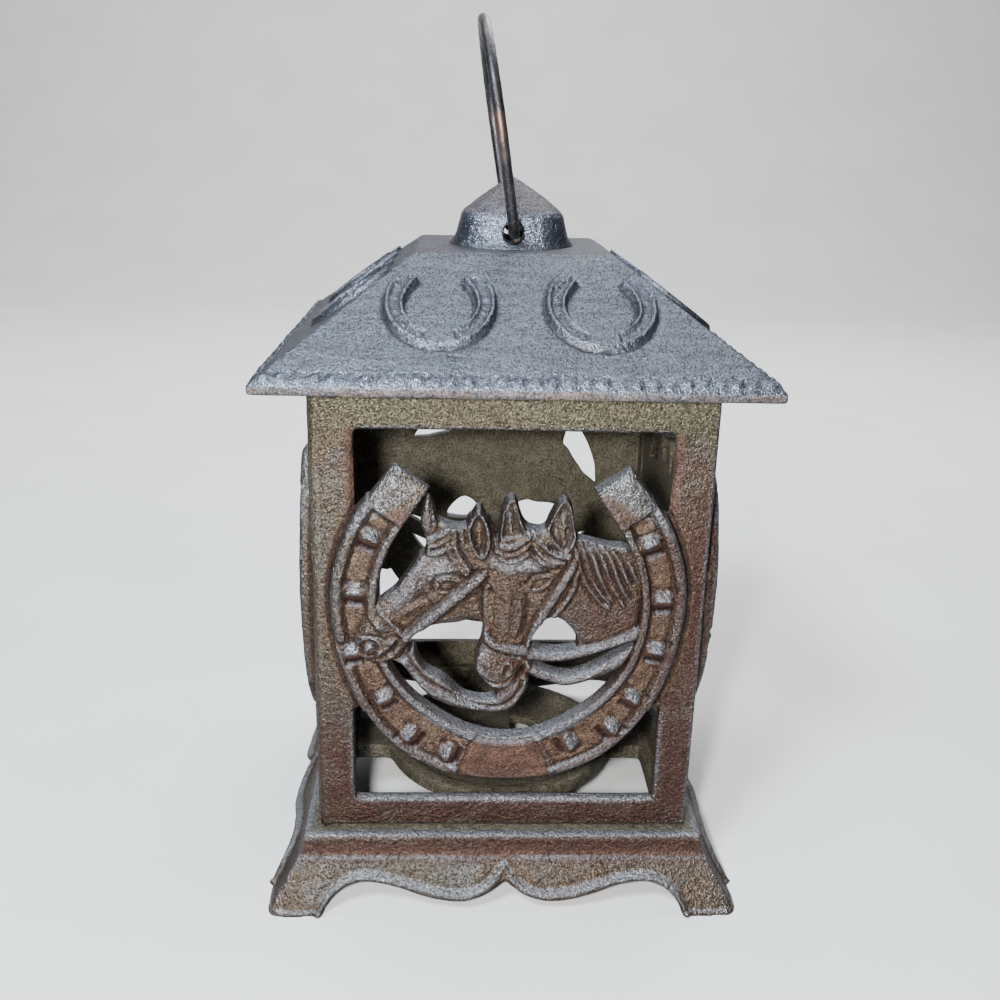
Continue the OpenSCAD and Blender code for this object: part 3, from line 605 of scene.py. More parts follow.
    # forelock
    for pts, w, top in (([(-4.6, 131.9), (-1.7, 131.0), (1.4, 131.8), (4.8, 134.6)], 1.45, 6.2),
                        ([(-4.9, 129.7), (-1.8, 128.3), (1.8, 129.1), (5.2, 132)], 1.2, 5.9),
                        ([(-4.0, 127.4), (-1.1, 126.0), (2.3, 126.9), (4.7, 128.7)], 0.95, 6.0),
                        ([(7.4, 130.4), (9.7, 127.8), (12.5, 126.3), (16.2, 126.1)], 1.2, 5.7),
                        ([(9.1, 132.2), (11.7, 129.7), (14.6, 128.3), (18, 127.9)], 1.2, 5.9),
                        ([(6.2, 128.7), (8.3, 126.5), (10.7, 125.1), (13.8, 124.8)], 0.9, 5.5)):
        bump(G, R, [(x, z - 1.25) for x, z in pts], 0.8, -0.9)
        tube(G, R, pts, w, top, 0.3)
    bump(G, R, [(5.0, 137), (7.6, 134), (10.8, 132)], 2.2, 0.4)
    bump(G, R, [(4.4, 133), (6, 130.6), (7.2, 128.6)], 0.9, -0.6)
    R = RP + 1.35 * (R - RP)
    R = np.where(s2 > -0.7, R - 3.0 * np.maximum(-s2 - 0.1, 0), -9)
    f1 = [(-4.6, 133.2), (-4.3, 139), (-3.4, 143.5), (-1.5, 146.8), (0.3, 147.2), (1.6, 144.5), (2.6, 140),
          (4.3, 136), (3.5, 133.9), (0, 133.2), (-3, 132.6)]
    R = ear(G, R, f1, 5.9, 4.0, 1.1, [(-1.2, 144), (-1.0, 139), (-0.6, 135)], 1.0)
    bump(G, R, [(0.3, 145.2), (1.0, 141), (1.9, 136.5)], 0.5, -0.55)
    f2 = [(10.5, 137), (11.8, 141), (13.8, 144.8), (15.8, 147), (17.6, 146), (18.9, 143), (19.8, 138),
          (20.3, 134.5), (19.2, 131), (17.6, 129.2), (15.4, 129.6), (13, 131.8), (11.2, 134.2)]
    R = ear(G, R, f2, 5.6, 3.5, 1.0, [(15.9, 141.5), (16, 136), (16.4, 131.5)], 0.8)
    bump(G, R, [(13.6, 143), (13.7, 138.5), (13.9, 134.6), (15, 131.4)], 1.3, 0.6)
    sr = np.maximum(s2, np.maximum(inside(G, f1, m=3), inside(G, f2, m=3)))
    H = np.where(sr > -0.7, np.maximum(H, R), H)
    S = np.maximum(S, sr)

    # ---- bridles and reins
    for pts, r, top, body in ((REIN_BOW, 3.0, 4.7, 0), (REIN_UPPER, 2.9, 5.6, 1), (REIN_LOWER, 3.1, 5.1, 2)):
        s = inside(G, pts, m=4)
        t = np.clip(s, 0, r) / r
        q = top + 0.3 - 2.9 * (1 - np.sqrt(np.maximum(1 - (1 - t) ** 2, 0)))
        if body == 0:
            bump(G, q, [(-33, 92), (-30.5, 88), (-26, 83.4), (-20.5, 80), (-15, 77), (-10, 74.8), (-4, 74.3),
                        (0, 76), (3, 79.5), (4.2, 83.5)], 1.0, -1.25)
            bump(G, q, [(-30.5, 93.8), (-28.4, 88.7), (-23.6, 85.2), (-19, 81.8), (-14, 77.5), (-9.5, 75.9),
                        (-5, 75.7), (-1.4, 78.2), (1.5, 81.4)], 0.9, 0.35)
            bump(G, q, [(-35, 90), (-31.6, 85.2), (-27.6, 80.9), (-22.4, 77.6), (-16.5, 75.2), (-10, 73)],
                 1.2, 0.5)
            blob(G, q, -21, 78.4, 4.2, 1.3, 0.5, -28)
        if body == 2:
            bump(G, q, [(6, 86.5), (11, 83.4), (17, 81.9), (21, 81.8), (27, 84.3), (33, 88)], 1.0, -0.4)
        q = q + 0.07 * wavy(X, Z, 61 + body, 5)
        H = np.where(s > -0.6, np.maximum(H, q - 3 * np.maximum(-s - 0.1, 0)), H)
        S = np.maximum(S, s)
    groove = [((-8.2, 119.6), (-13, 115.2), (-20, 108.9), (-27, 102.5), (-32, 98)),
              ((-11, 122.4), (-15.4, 118.3), (-22.3, 112.2), (-29.3, 105.9), (-34.6, 101))]
    for gline in groove:
        bump(G, H, list(gline), 1.0, -0.5)
    tube(G, H, [(-8.6, 121.4, 1.5, 5.6), (-14, 116.6, 1.75, 6.1), (-21, 110.4, 1.9, 6.35), (-28, 104.1, 1.95, 6.3),
                (-33.4, 98.9, 1.9, 6.0)], 1.9, 6.3, 0.35, 0.9)
    tube(G, H, [(-42.3, 108.6, 0.9, 5.6), (-38.7, 104.5, 1.0, 5.7), (-35.4, 100.6, 1.1, 5.7)], 0.9, 5.6, 0.3, 0.7)
    blob(G, H, -34.2, 98.7, 2.4, 2.1, 0.5)
    for gline in (((21.3, 124.5), (19, 119.6), (16, 114.2), (13, 108.6), (10.4, 103.4), (8.6, 97.5)),
                  ((17, 124), (14.8, 119.6), (12, 114.4), (9, 109), (6.5, 103.9), (4.7, 98), (3.9, 95))):
        bump(G, H, list(gline), 0.9, -0.55)
    tube(G, H, [(20.3, 126.6, 1.3, 5.0), (19.0, 123.6, 1.6, 5.8), (16.9, 119.6, 1.75, 6.1), (14.1, 114.5, 1.75, 6.1),
                (11.1, 109.1, 1.75, 6.0), (8.5, 103.8, 1.7, 5.9), (6.6, 98, 1.6, 5.8), (5.8, 94.4, 1.5, 5.6)],
         1.7, 6.0, 0.35, 0.9)
    bump(G, H, [(22.2, 121), (20.7, 115.5), (17.9, 110.4), (15.4, 106.6)], 0.7, -0.5)
    tube(G, H, [(21, 122, 0.9, 4.6), (19.7, 116, 1.1, 4.9), (16.9, 110.9, 1.1, 4.8), (14.2, 106.6, 1.0, 4.5)],
         1.0, 4.8, 0.35, 0.8)
    bump(G, H, [(-8.5, 98.2), (-5, 94.9), (-1, 93.4), (4, 92.8)], 0.8, -0.6)
    tube(G, H, [(-9.3, 101.4, 1.3, 6.2), (-7.2, 98.7, 1.5, 6.5), (-4, 96.5, 1.5, 6.6), (0.4, 95.3, 1.5, 6.6),
                (5.4, 94.6, 1.7, 6.2)], 1.5, 6.4, 0.3, 0.9)
    # the bit's ring, where the reins meet
    blob(G, H, 6.2, 90.8, 2.8, 3.2, 0.7)
    bump(G, H, [(4.3, 88.8), (6.2, 87.6), (8, 88.9)], 0.7, -0.5)
    bump(G, H, [(7.4, 91.8), (10.5, 89.9), (14, 89)], 0.7, -0.7)
    return H, S


def ear(G, H, pts, rim, hollow, w, ridge, rise):
    """An ear seen from the front: a rim round a hollow with a ridge in it."""
    s = inside(G, pts, m=3)
    t = step(w * 0.75, w * 1.7, s)
    E = (rim - 0.8 * soft_edge(s, w) / w) * (1 - t) + hollow * t
    bump(G, E, ridge, 1.1, rise)
    E = E + 0.08 * wavy(G.X, G.Z, 71, 3)
    return np.where(s > -0.45, np.maximum(np.where(s > 0.1, E, np.minimum(H, rim)), E - 3 * np.maximum(-s, 0)), H)


def panel(g=0.3):
    G, H, S, shoe, w1 = panel_fields(g)
    H, S = horses(G, H, S, w1)
    H = blur(H, 0.22 / g)
    H = H + 0.07 * wavy(G.X, G.Z, 81, 4.0) + 0.05 * wavy(G.X, G.Z, 82, 1.5)
    return G, H, S






# ------------------------------------------------------------ panels as solids
def panel_solid(half, ears, door, h=0.42):
    """One panel casting as a closed mesh in its own axes x, d, z."""
    G, H, S = PANEL
    x0, z0 = G.xs[0], G.zs[0]
    xs = np.arange(-65.9, 66.0, h)
    zs = np.arange(22.7, 183.4, h)
    XX, ZZ = np.meshgrid(xs, zs)
    Hg = look_up(H, x0, z0, G.g, XX, ZZ).astype(np.float32)
    Sg = look_up(S, x0, z0, G.g, XX, ZZ).astype(np.float32)
    # the opening's and the relief's edges stay; the frame is trimmed to size
    lo, hi = (24.9, 179.9) if door else (24.5, 181.5)
    left = -61.5 if door else -half
    right = half
    edge = np.minimum(np.minimum(XX - left, right - XX), np.minimum(ZZ - lo, hi - ZZ)).astype(np.float32)
    big = (abs(XX) < 57.5) & (ZZ > 26) & (ZZ < 180)
    Sg = np.where(big, Sg, np.minimum(np.maximum(Sg, (abs(XX) > 57.5) * 3.0), edge))
    Hg = np.where(big, Hg, np.maximum(Hg, -0.3))
    soft = 0.8 * soft_edge(np.maximum(edge, 0), 0.9)
    Hg = np.where(big, Hg, Hg - soft)
    gz, gx = np.gradient(Hg, h)
    slope = np.sqrt(1 + np.minimum(gx * gx + gz * gz, 9))
    # the middle of the casting is thinner than its frame
    deep = step(52.2, 49.6, abs(XX)) * step(34.6, 37.2, ZZ) * step(168.2, 165.6, ZZ)
    rear = (5.0 - (3.3 if door else 0.9) * deep + 0.12 * wavy(XX, ZZ, 91, 12)).astype(np.float32)
    ds = np.arange(-5.9, 7.6, h)
    f = np.empty((len(ds), len(zs), len(xs)), np.float32)
    for i, d in enumerate(ds):
        wall = Sg - 0.10 * (d + 0.5)
        a = smin(wall, (Hg - d) / slope, 0.5)
        f[i] = smin(a, d + rear, 0.5)
    f = f.transpose(2, 0, 1)
    v, q = nets(f, (xs[0], ds[0], zs[0]), h)
    return v, q


def paint(v, G, H, S):
    """Masks for the finish: wear with painted sheen, hollows for ochre dirt and painted shade, rusty colour with
    painted shade, sand, and painted highlight.
    """
    x, d, z = v[:, 0], v[:, 1], v[:, 2]
    g = G.g
    solid = (S > -0.4)
    Hs = np.where(solid, H, -4.5)
    mid = blur(Hs, 1.0 / g)
    wide = blur(Hs, 3.2 / g)
    at = lambda A: look_up(A, G.xs[0], G.zs[0], g, x, z)
    h = at(H)
    up = np.clip(1 - np.abs(h - d) / 1.4, 0, 1)
    # convex crests: wear together with a painted sheen, held back on the shoe's rims
    worn_and_sheen = np.clip((at(Hs - mid) - 0.10) / 0.8, 0, 1) * 0.34 + np.clip((at(Hs - wide) - 0.4) / 2.2, 0, 1) * 0.40
    # concave places: ochre dirt, and painted shade where they are deepest
    hollow = np.clip((at(mid - np.where(solid, H, mid)) - 0.03) / 0.35, 0, 1)
    hollow += np.clip((at(wide - np.where(solid, H, wide)) - 0.15) / 0.9, 0, 1) * 0.6
    ring = np.hypot((x + 0.5) / 57.4, (z - 104) / 59.5)
    rim = (ring > 0.80) & (ring < 1.03) & (z < 137) & (h > 4.0) & (h < 4.7)
    worn_and_sheen = np.where(rim, worn_and_sheen * 0.45, worn_and_sheen) * up
    hollow *= up
    on_face = step(0.15, 0.5, up)
    rust_and_shade, painted_highlight = np.zeros(len(v)), np.zeros(len(v))
    toe = (z < 62.3) & (z > 44) & (h > 3.0) & (h < 4.1) & (x > -10.6 - (62 - z) * 0.406) & (x < 8.2 + (62 - z) * 0.43)
    rust_and_shade = np.where(toe, 1.0, rust_and_shade)
    sand = np.exp(-((h - 2.8) / 0.55) ** 2) * (ring < 1.0) * (ring > 0.74) * ~toe
    for nx, nz, ang, dist in NAILS:
        c, s = math.cos(math.radians(ang)), math.sin(math.radians(ang))
        y, u = -((x - nx) * c + (z - nz) * s), (-(x - nx) * s + (z - nz) * c) / 3.3
        here = step(1.15, 0.95, abs(u))
        # rusty colour with painted shade on the lower face below each nail head and in its hole
        rust_and_shade = np.maximum(rust_and_shade, here * step(1.0, 2.0, y) * step(dist + 0.6, dist - 0.6, y))
        # painted highlight on the upper bevel of each nail head
        bevel = step(0.85, 0.45, abs(u)) * step(-2.6, -1.2, y) * step(1.9, 1.2, y)
        painted_highlight = np.maximum(painted_highlight, bevel * on_face)
        sand = sand * (1 - np.maximum(here * step(0.8, 1.6, y) * step(dist + 0.8, dist, y), bevel))
    # painted highlights on the heels' bevels, and their brown middles
    heel = (z > 134) & (h > 2.6) & (np.hypot(x + 0.5, z - 104) > 40.0)
    tip = np.minimum(np.abs((x + 31.5) * -0.57 + (z - 153.2) * 0.82), 9) * (x < 0) + np.abs((x - 30.5) * 0.57 + (z - 153.2) * 0.82) * (x > 0)
    outer = np.abs(at(blur(np.where(solid, H, -4.5), 0.3 / g)) - 5.15)
    mid_heel = heel * step(3.6, 5.4, tip) * step(0.75, 0.3, outer)
    rust_and_shade = np.maximum(rust_and_shade, 0.75 * mid_heel)
    painted_highlight = np.where(heel, np.maximum(painted_highlight, 0.6 * step(5.2, 3.4, tip) * on_face), painted_highlight)
    # painted highlights on the brow, forehead and nose ridge
    shine = np.exp(-((x - 2.5) / 8) ** 2 - ((z - 124.4 - 0.02 * (x - 2) ** 2) / 2.3) ** 2)
    shine = np.maximum(shine, np.exp(-((x + 24.5) / 5.5) ** 2 - ((z - 123.2) / 3.4) ** 2))
    shine = np.maximum(shine, 0.7 * np.exp(-(((x + 34) * 0.62 - (z - 113) * 0.78) / 2.6) ** 2 - (((x + 34) * 0.78 + (z - 113) * 0.62) / 8) ** 2))
    shine = np.maximum(shine, 0.6 * np.exp(-((x - 30) / 9) ** 2 - ((z - 131.5) / 1.8) ** 2))
    painted_highlight = np.maximum(painted_highlight, shine * on_face * (h > 2.5))
    # a painted highlight on the lip round the toe's inner edge
    inner_lip = step(0.705, 0.725, ring) * step(0.765, 0.745, ring) * step(78, 68, z) * (d > h - 1.6)
    painted_highlight = np.maximum(painted_highlight, 0.8 * inner_lip)
    # the rounded inner edges of the stiles stay dark brown: painted shade with a rusty colour
    band = step(53.4, 52.4, abs(x)) * step(49.5, 50.3, abs(x)) * step(130, 140, z) * step(168.5, 166.5, z) * (h < 0.25)
    rust_and_shade = np.maximum(rust_and_shade, 0.9 * band)
    rust_and_shade *= on_face
    sand *= on_face * (h > 1.2)
    return worn_and_sheen, np.clip(hollow, 0, 1), rust_and_shade, sand, painted_highlight


# ------------------------------------------------------------- making objects
def tidy_edges(quads):
    e = np.vstack([quads[:, [0, 1]], quads[:, [1, 2]], quads[:, [2, 3]], quads[:, [3, 0]]])
    e.sort(axis=1)
    return np.unique(e, axis=0)


def relax(v, e, deg, n, w=0.5):
    for _ in range(n):
        s = np.zeros_like(v)
        for c in range(3):
            s[:, c] = (np.bincount(e[:, 0], weights=v[e[:, 1], c], minlength=len(v))
                       + np.bincount(e[:, 1], weights=v[e[:, 0], c], minlength=len(v)))
        v = v * (1 - w) + w * s / deg[:, None]
    return v


def facing(v, q):
    """Unit normals of the vertices, pointing out of the solid, and the quads turned to match."""
    a = v[q[:, 2]] - v[q[:, 0]]
    b = v[q[:, 3]] - v[q[:, 1]]
    n = np.cross(a, b)
    vol = (n * v[q].mean(1)).sum()
    if vol < 0:
        q, n = q[:, ::-1], -n
    out = np.zeros_like(v)
    for k in range(4):
        for c in range(3):
            out[:, c] += np.bincount(q[:, k], weights=n[:, c], minlength=len(v))
    return out / np.maximum(np.linalg.norm(out, axis=1, keepdims=True), 1e-9), q


def wear_masks(v, q, fine=3, wide=14, gain=1.0):
    """Edges that stand out and corners that lie back, read off the mesh itself."""
    e = tidy_edges(q)
    deg = np.maximum(np.bincount(e.ravel(), minlength=len(v)), 1).astype(float)
    n, q = facing(v, q)
    a = relax(v.astype(float), e, deg, fine)
    b = relax(a, e, deg, wide)
    out = ((a - b) * n).sum(1) * gain
    return np.clip(out / 0.35, 0, 1), np.clip(-out / 0.30, 0, 1), n, q


def solid(name, v, q, masks, mat, body, replaced, budget=195000, extra=None):
    """A Blender object from millimetres, thinned to its triangle budget."""
    me = bpy.data.meshes.new(name)
    me.from_pydata((v / 1000).tolist(), [], q.tolist())
    for key, val in masks.items():
        at = me.attributes.new(key, "FLOAT", "POINT")
        at.data.foreach_set("value", np.clip(val, 0, 1).astype(np.float32))
    ob = bpy.data.objects.new(name, me)
    bpy.context.collection.objects.link(ob)
    if 2 * len(q) > budget:
        mod = ob.modifiers.new("thin", "DECIMATE")
        mod.ratio = budget / (2 * len(q))
        dg = bpy.context.evaluated_depsgraph_get()
        new = bpy.data.meshes.new_from_object(ob.evaluated_get(dg))
        ob.modifiers.clear()
        ob.data = new
        bpy.data.meshes.remove(me)
        new.name = name
        me = new
    if extra:
        join(me, extra)
    me.materials.clear()
    me.materials.append(mat)
    me.shade_smooth()
    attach(ob, body)
    for r in replaced:
        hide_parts(r)
    return ob


def join(me, parts):
    """Adds closed shells, each (vertices in mm, faces, masks), to a mesh."""
    bm = bmesh.new()
    bm.from_mesh(me)
    lay = {k: bm.verts.layers.float.get(k) for k in ("worn_and_sheen", "hollow", "rust_and_shade", "inner", "sand", "painted_highlight")}
    for v, faces, masks in parts:
        vs = []
        for p in v:
            b = bm.verts.new((p[0] / 1000, p[1] / 1000, p[2] / 1000))
            for k, L in lay.items():
                if L is not None:
                    b[L] = masks.get(k, 0.0)
            vs.append(b)
        for f in faces:
            bm.faces.new([vs[i] for i in f])
    bm.to_mesh(me)
    bm.free()


def lathe(profile, n=48, at=(0, 0)):
    """A turned closed shell about a vertical axis, from (r, z) points, first and last at r = 0."""
    v, f = [(at[0], at[1], profile[0][1])], []
    for r, z in profile[1:-1]:
        for k in range(n):
            a = 2 * math.pi * k / n
            v.append((at[0] + r * math.cos(a), at[1] + r * math.sin(a), z))
    v.append((at[0], at[1], profile[-1][1]))
    m = len(profile) - 2
    for k in range(n):
        k2 = (k + 1) % n
        f.append((0, 1 + k2, 1 + k))
        for i in range(m - 1):
            a, b = 1 + i * n, 1 + (i + 1) * n
            f.append((a + k, a + k2, b + k2, b + k))
        a = 1 + (m - 1) * n
        f.append((a + k, a + k2, len(v) - 1))
    return v, f


def grid3(lo, hi, h):
    ax = [np.arange(lo[k], hi[k] + h, h).astype(np.float32) for k in range(3)]
    return ax[0][:, None, None], ax[1][None, :, None], ax[2][None, None, :]


def wall(profile, z):
    p = np.array(profile)
    return np.interp(z, p[:, 1], p[:, 0]).astype(np.float32)


# ----------------------------------------------------------------------- base
SCALLOP = [(0, 9.5), (3, 8), (6, 6.2), (10, 4.7), (15, 3.9), (20, 4.1), (25, 4.9), (30, 6), (35, 7.4),
           (40, 8.7), (45, 9.4), (50, 9.4), (54, 8.4), (57, 6.9), (59.5, 4.5), (61, 2), (62, -1), (62.3, -4)]


def skirt_relief(u, z):
    """How far the skirt's face stands out, from the rolled edge along the scallops."""
    P = spline([(-x, y) for x, y in SCALLOP[:0:-1]] + SCALLOP, n=4)
    G = Grid(-82, 82, -3, 26, 0.3)
    d, _ = near(G, P, (slice(None), slice(None)))
    edge_z = np.interp(np.abs(G.X), [p[0] for p in SCALLOP], [p[1] for p in SCALLOP])
    e = np.where((G.Z > edge_z) & (abs(G.X) < 62.6) | (abs(G.X) >= 62.6), d, -d)
    # the ridge runs a little above the edge and rises to a point in the middle
    top = [(0, 14.2), (2.2, 11.8), (5, 9.2), (9, 7.2), (14, 6.2), (20, 6.4), (27, 7.7), (34, 9.4), (41, 10.8), (47, 11.5),
           (52, 11.0), (56, 9.4), (59.5, 6.6), (62.2, 3.4), (63.4, 1.0)]
    T = spline([(-x, y) for x, y in top[:0:-1]] + top, n=4)
    dr, _ = near(G, T, (slice(None), slice(None)))
    R = 1.15 * np.exp(-(dr / 0.95) ** 2)
    R += 0.5 * step(-0.4, 1.2, e) * np.exp(-np.maximum(e - 1.2, 0) ** 2 / 3) * (dr > -1)
    R -= 0.25 * np.exp(-((dr - 2.1) / 0.7) ** 2) * (e > 2.2)
    R += 0.16 * wavy(G.X, G.Z, 101, 9) + 0.09 * wavy(G.X, G.Z, 102, 2.5)
    # ledge over the foot
    R += 0.7 * step(2.0, 1.2, G.Z) * step(60, 62.5, abs(G.X))
    R *= step(80, 76, abs(G.X))
    return G, R, e


def build_base(h=0.5):
    x, y, z = grid3((-83, -83, -1.0), (83, 83, 26), h)
    ax, ay = abs(x), abs(y)
    m = smax(ax, ay, 1.6)
    prof = [(80.4, -2), (80.4, 0), (80.2, 1.2), (78.6, 4.5), (76.2, 8.5), (73.9, 12.5), (71.6, 16.2), (70.35, 17.4),
            (69.9, 18.6), (69.75, 21.5), (69.6, 23.2), (69.0, 24.1), (68.4, 24.5), (68.4, 27)]
    w = wall(prof, z)
    G, R, E = skirt_relief(None, None)
    front = ay >= ax
    u = np.where(front, np.where(y < 0, x, -x), np.where(x > 0, y, -y)) + 0 * z
    zz = z + 0 * u
    rel = look_up(R, G.xs[0], G.zs[0], G.g, u, zz).astype(np.float32)
    edge = look_up(E, G.xs[0], G.zs[0], G.g, u, zz).astype(np.float32)
    del u, zz
    band = step(16.5, 17.5, z)
    rel = rel * (1 - band) + band * 0.1
    f = (w - m) * 0.9 + rel
    inside_ = (wall([(p[0] - 4.0, p[1]) for p in prof], z) - m) * 0.9
    shell = smin(f, np.where(z < 18.5, -inside_, 9.0), 0.4)
    shell = np.where(z < 18.9, smin(shell, edge, 0.8), shell)
    # the top is a frame round the floor's holes
    hole = m - 56.5
    shell = smin(shell, np.where(z > 17.5, hole, 9.0), 0.6)
    shell = smin(shell, 24.5 + 0.10 * wavy(x, y, 111, 14) - z, 0.5)
    # floor: four arms, a dished ring and a cross of bars
    X2, Y2 = x[:, :, 0], y[:, :, 0]
    rho = np.sqrt(X2 ** 2 + Y2 ** 2)
    arm = np.maximum(smin(10.75 - abs(X2), 68 - abs(Y2), 0.5), smin(10.75 - abs(Y2), 68 - abs(X2), 0.5))
    plan = smax(43.5 - rho, arm, 2.4) - 0.05
    plan = smax(plan, np.maximum(abs(X2), abs(Y2)) - 56.5, 2.0)
    plan = np.minimum(plan, 68 - np.maximum(abs(X2), abs(Y2)))
    bars = np.maximum(5.7 - abs(X2), 5.7 - abs(Y2))
    plan = smin(plan, smax(rho - 22, bars, 3.0), 0.6)
    top = np.interp(rho, [0, 21, 23, 29, 31, 34.8, 36.6, 38.2, 39.4, 41.6, 43.2],
                    [20, 20, 20.1, 20.7, 21.1, 21.6, 22.6, 24.2, 24.75, 24.9, 24.5])
    low = np.interp(rho, [0, 37, 39.5], [16.5, 16.5, 18.5])
    top = blur(top, 1.4) + 0.12 * wavy(X2, Y2, 113, 11) + 0.05 * wavy(X2, Y2, 114, 3)
    floor = smin(plan[:, :, None], smin(top[:, :, None] - z, z - low[:, :, None], 0.4), 0.7)
    f = np.maximum(shell, floor).astype(np.float32)
    del shell, floor, rel, edge
    f = np.minimum(f, z + 0.001)
    v, q = nets(f, (x[0, 0, 0], y[0, 0, 0], z[0, 0, 0]), h)
    v[:, 2] = np.maximum(v[:, 2], 0.0)
    up, lo, n, q = wear_masks(v, q, 2, 10)
    inner = step(67.5, 65.5, np.maximum(abs(v[:, 0]), abs(v[:, 1]))) * (v[:, 2] > 15)
    inner = np.maximum(inner, (np.maximum(abs(v[:, 0]), abs(v[:, 1])) < 74 - v[:, 2] * 0.5) * (v[:, 2] < 19) * 0.7)
    rust_and_shade = step(22.5, 20.5, v[:, 2]) * step(16, 17.5, v[:, 2]) * (np.maximum(abs(v[:, 0]), abs(v[:, 1])) > 68) * 0.6
    return v, q, {"worn_and_sheen": up, "hollow": lo, "rust_and_shade": rust_and_shade, "inner": inner}


# ----------------------------------------------------------------------- roof
SMALL_OUT = [(0, 14.6), (5.5, 15.3), (10.5, 18.0), (14.3, 22.2), (16.6, 27.2), (17.3, 32.1), (16.8, 37.6),
             (14.8, 43), (11.6, 47.4)]
SMALL_IN = [(6.9, 42.7), (9.3, 39), (10.9, 34.8), (11.2, 30.5), (9.9, 26.2), (7.4, 23), (4, 21.2), (0, 20.7)]


def roof_relief():
    """Relief on one slope: u across, s up the slope from the eave, heights along the normal."""
    G = Grid(-80, 80, -4, 60, 0.25)
    H = G.full(0) + 0.17 * wavy(G.X, G.Z, 121, 22) + 0.09 * wavy(G.X, G.Z * 2.5, 122, 5) \
        + 0.06 * wavy(G.X, G.Z * 3, 123, 1.8)
    for c, k in ((-23.8, 1.0), (26.3, -1.0)):
        Po = spline([(-x + c, z) for x, z in SMALL_OUT[:0:-1]] + [(x + c, z) for x, z in SMALL_OUT], n=5)
        Pi = spline([(-x + c, z) for x, z in SMALL_IN[:-1]] + [(x + c, z) for x, z in SMALL_IN[::-1]], n=5)
        poly = np.vstack([Po, Pi[::-1]])
        s = inside(G, poly, False, m=3)
        sl = G.win(poly, 3)
        so, si = G.full(9), G.full(9)
        so[sl] = near(G, Po, sl)[0]
        si[sl] = near(G, Pi, sl)[0]
        chan = np.minimum(so - 1.55, si - 1.35)
        prof = 1.6 - 0.85 * step(-0.35, 0.35, chan) - 0.5 * soft_edge(np.minimum(so, si), 0.6)
        toe = abs(G.X - c) + (G.Z - 18) * 0.25 < 4.6
        tip = (G.Z > 41.4 + abs(G.X - c - 0) * 0.0) & (G.Z + abs(G.X - c) * 0.62 > 49.2)
        prof = np.where(toe | tip, 1.35 - 0.4 * soft_edge(np.minimum(so, si), 0.7), prof)
        H = H - 0.6 * np.exp(-((s + 0.5) / 0.5) ** 2)
        t = step(-0.25, 0.2, s)
        H = H * (1 - 0 * t) + t * prof
        for x, z in ((-13.6, 40), (-14.3, 34.2), (-13.6, 28.2), (-10.8, 22.6), (-6.4, 18.9),
                     (13.6, 40), (14.3, 34.2), (13.6, 28.2), (10.8, 22.6), (6.4, 18.9)):
            blob(G, H, c + x, z, 1.15, 1.15, 0.62)
            blob(G, H, c + x * 0.97, z - 1.9, 0.8, 0.8, -0.3)
    # the row of lobes along the eave
    pitch = 153.8 / 31
    for i in range(31):
        x = -76.9 + pitch * (i + 0.5)
        amp = 0.8 + 0.25 * math.sin(i * 2.3)
        blob(G, H, x, 1.3, 2.35, 2.3, 0.95 * amp, 0, 0.6)
        blob(G, H, x + pitch / 2, 3.5, 1.5, 1.3, -0.55 * amp)
        blob(G, H, x, 4.4, 2.0, 1.0, -0.35 * amp)
    return G, H


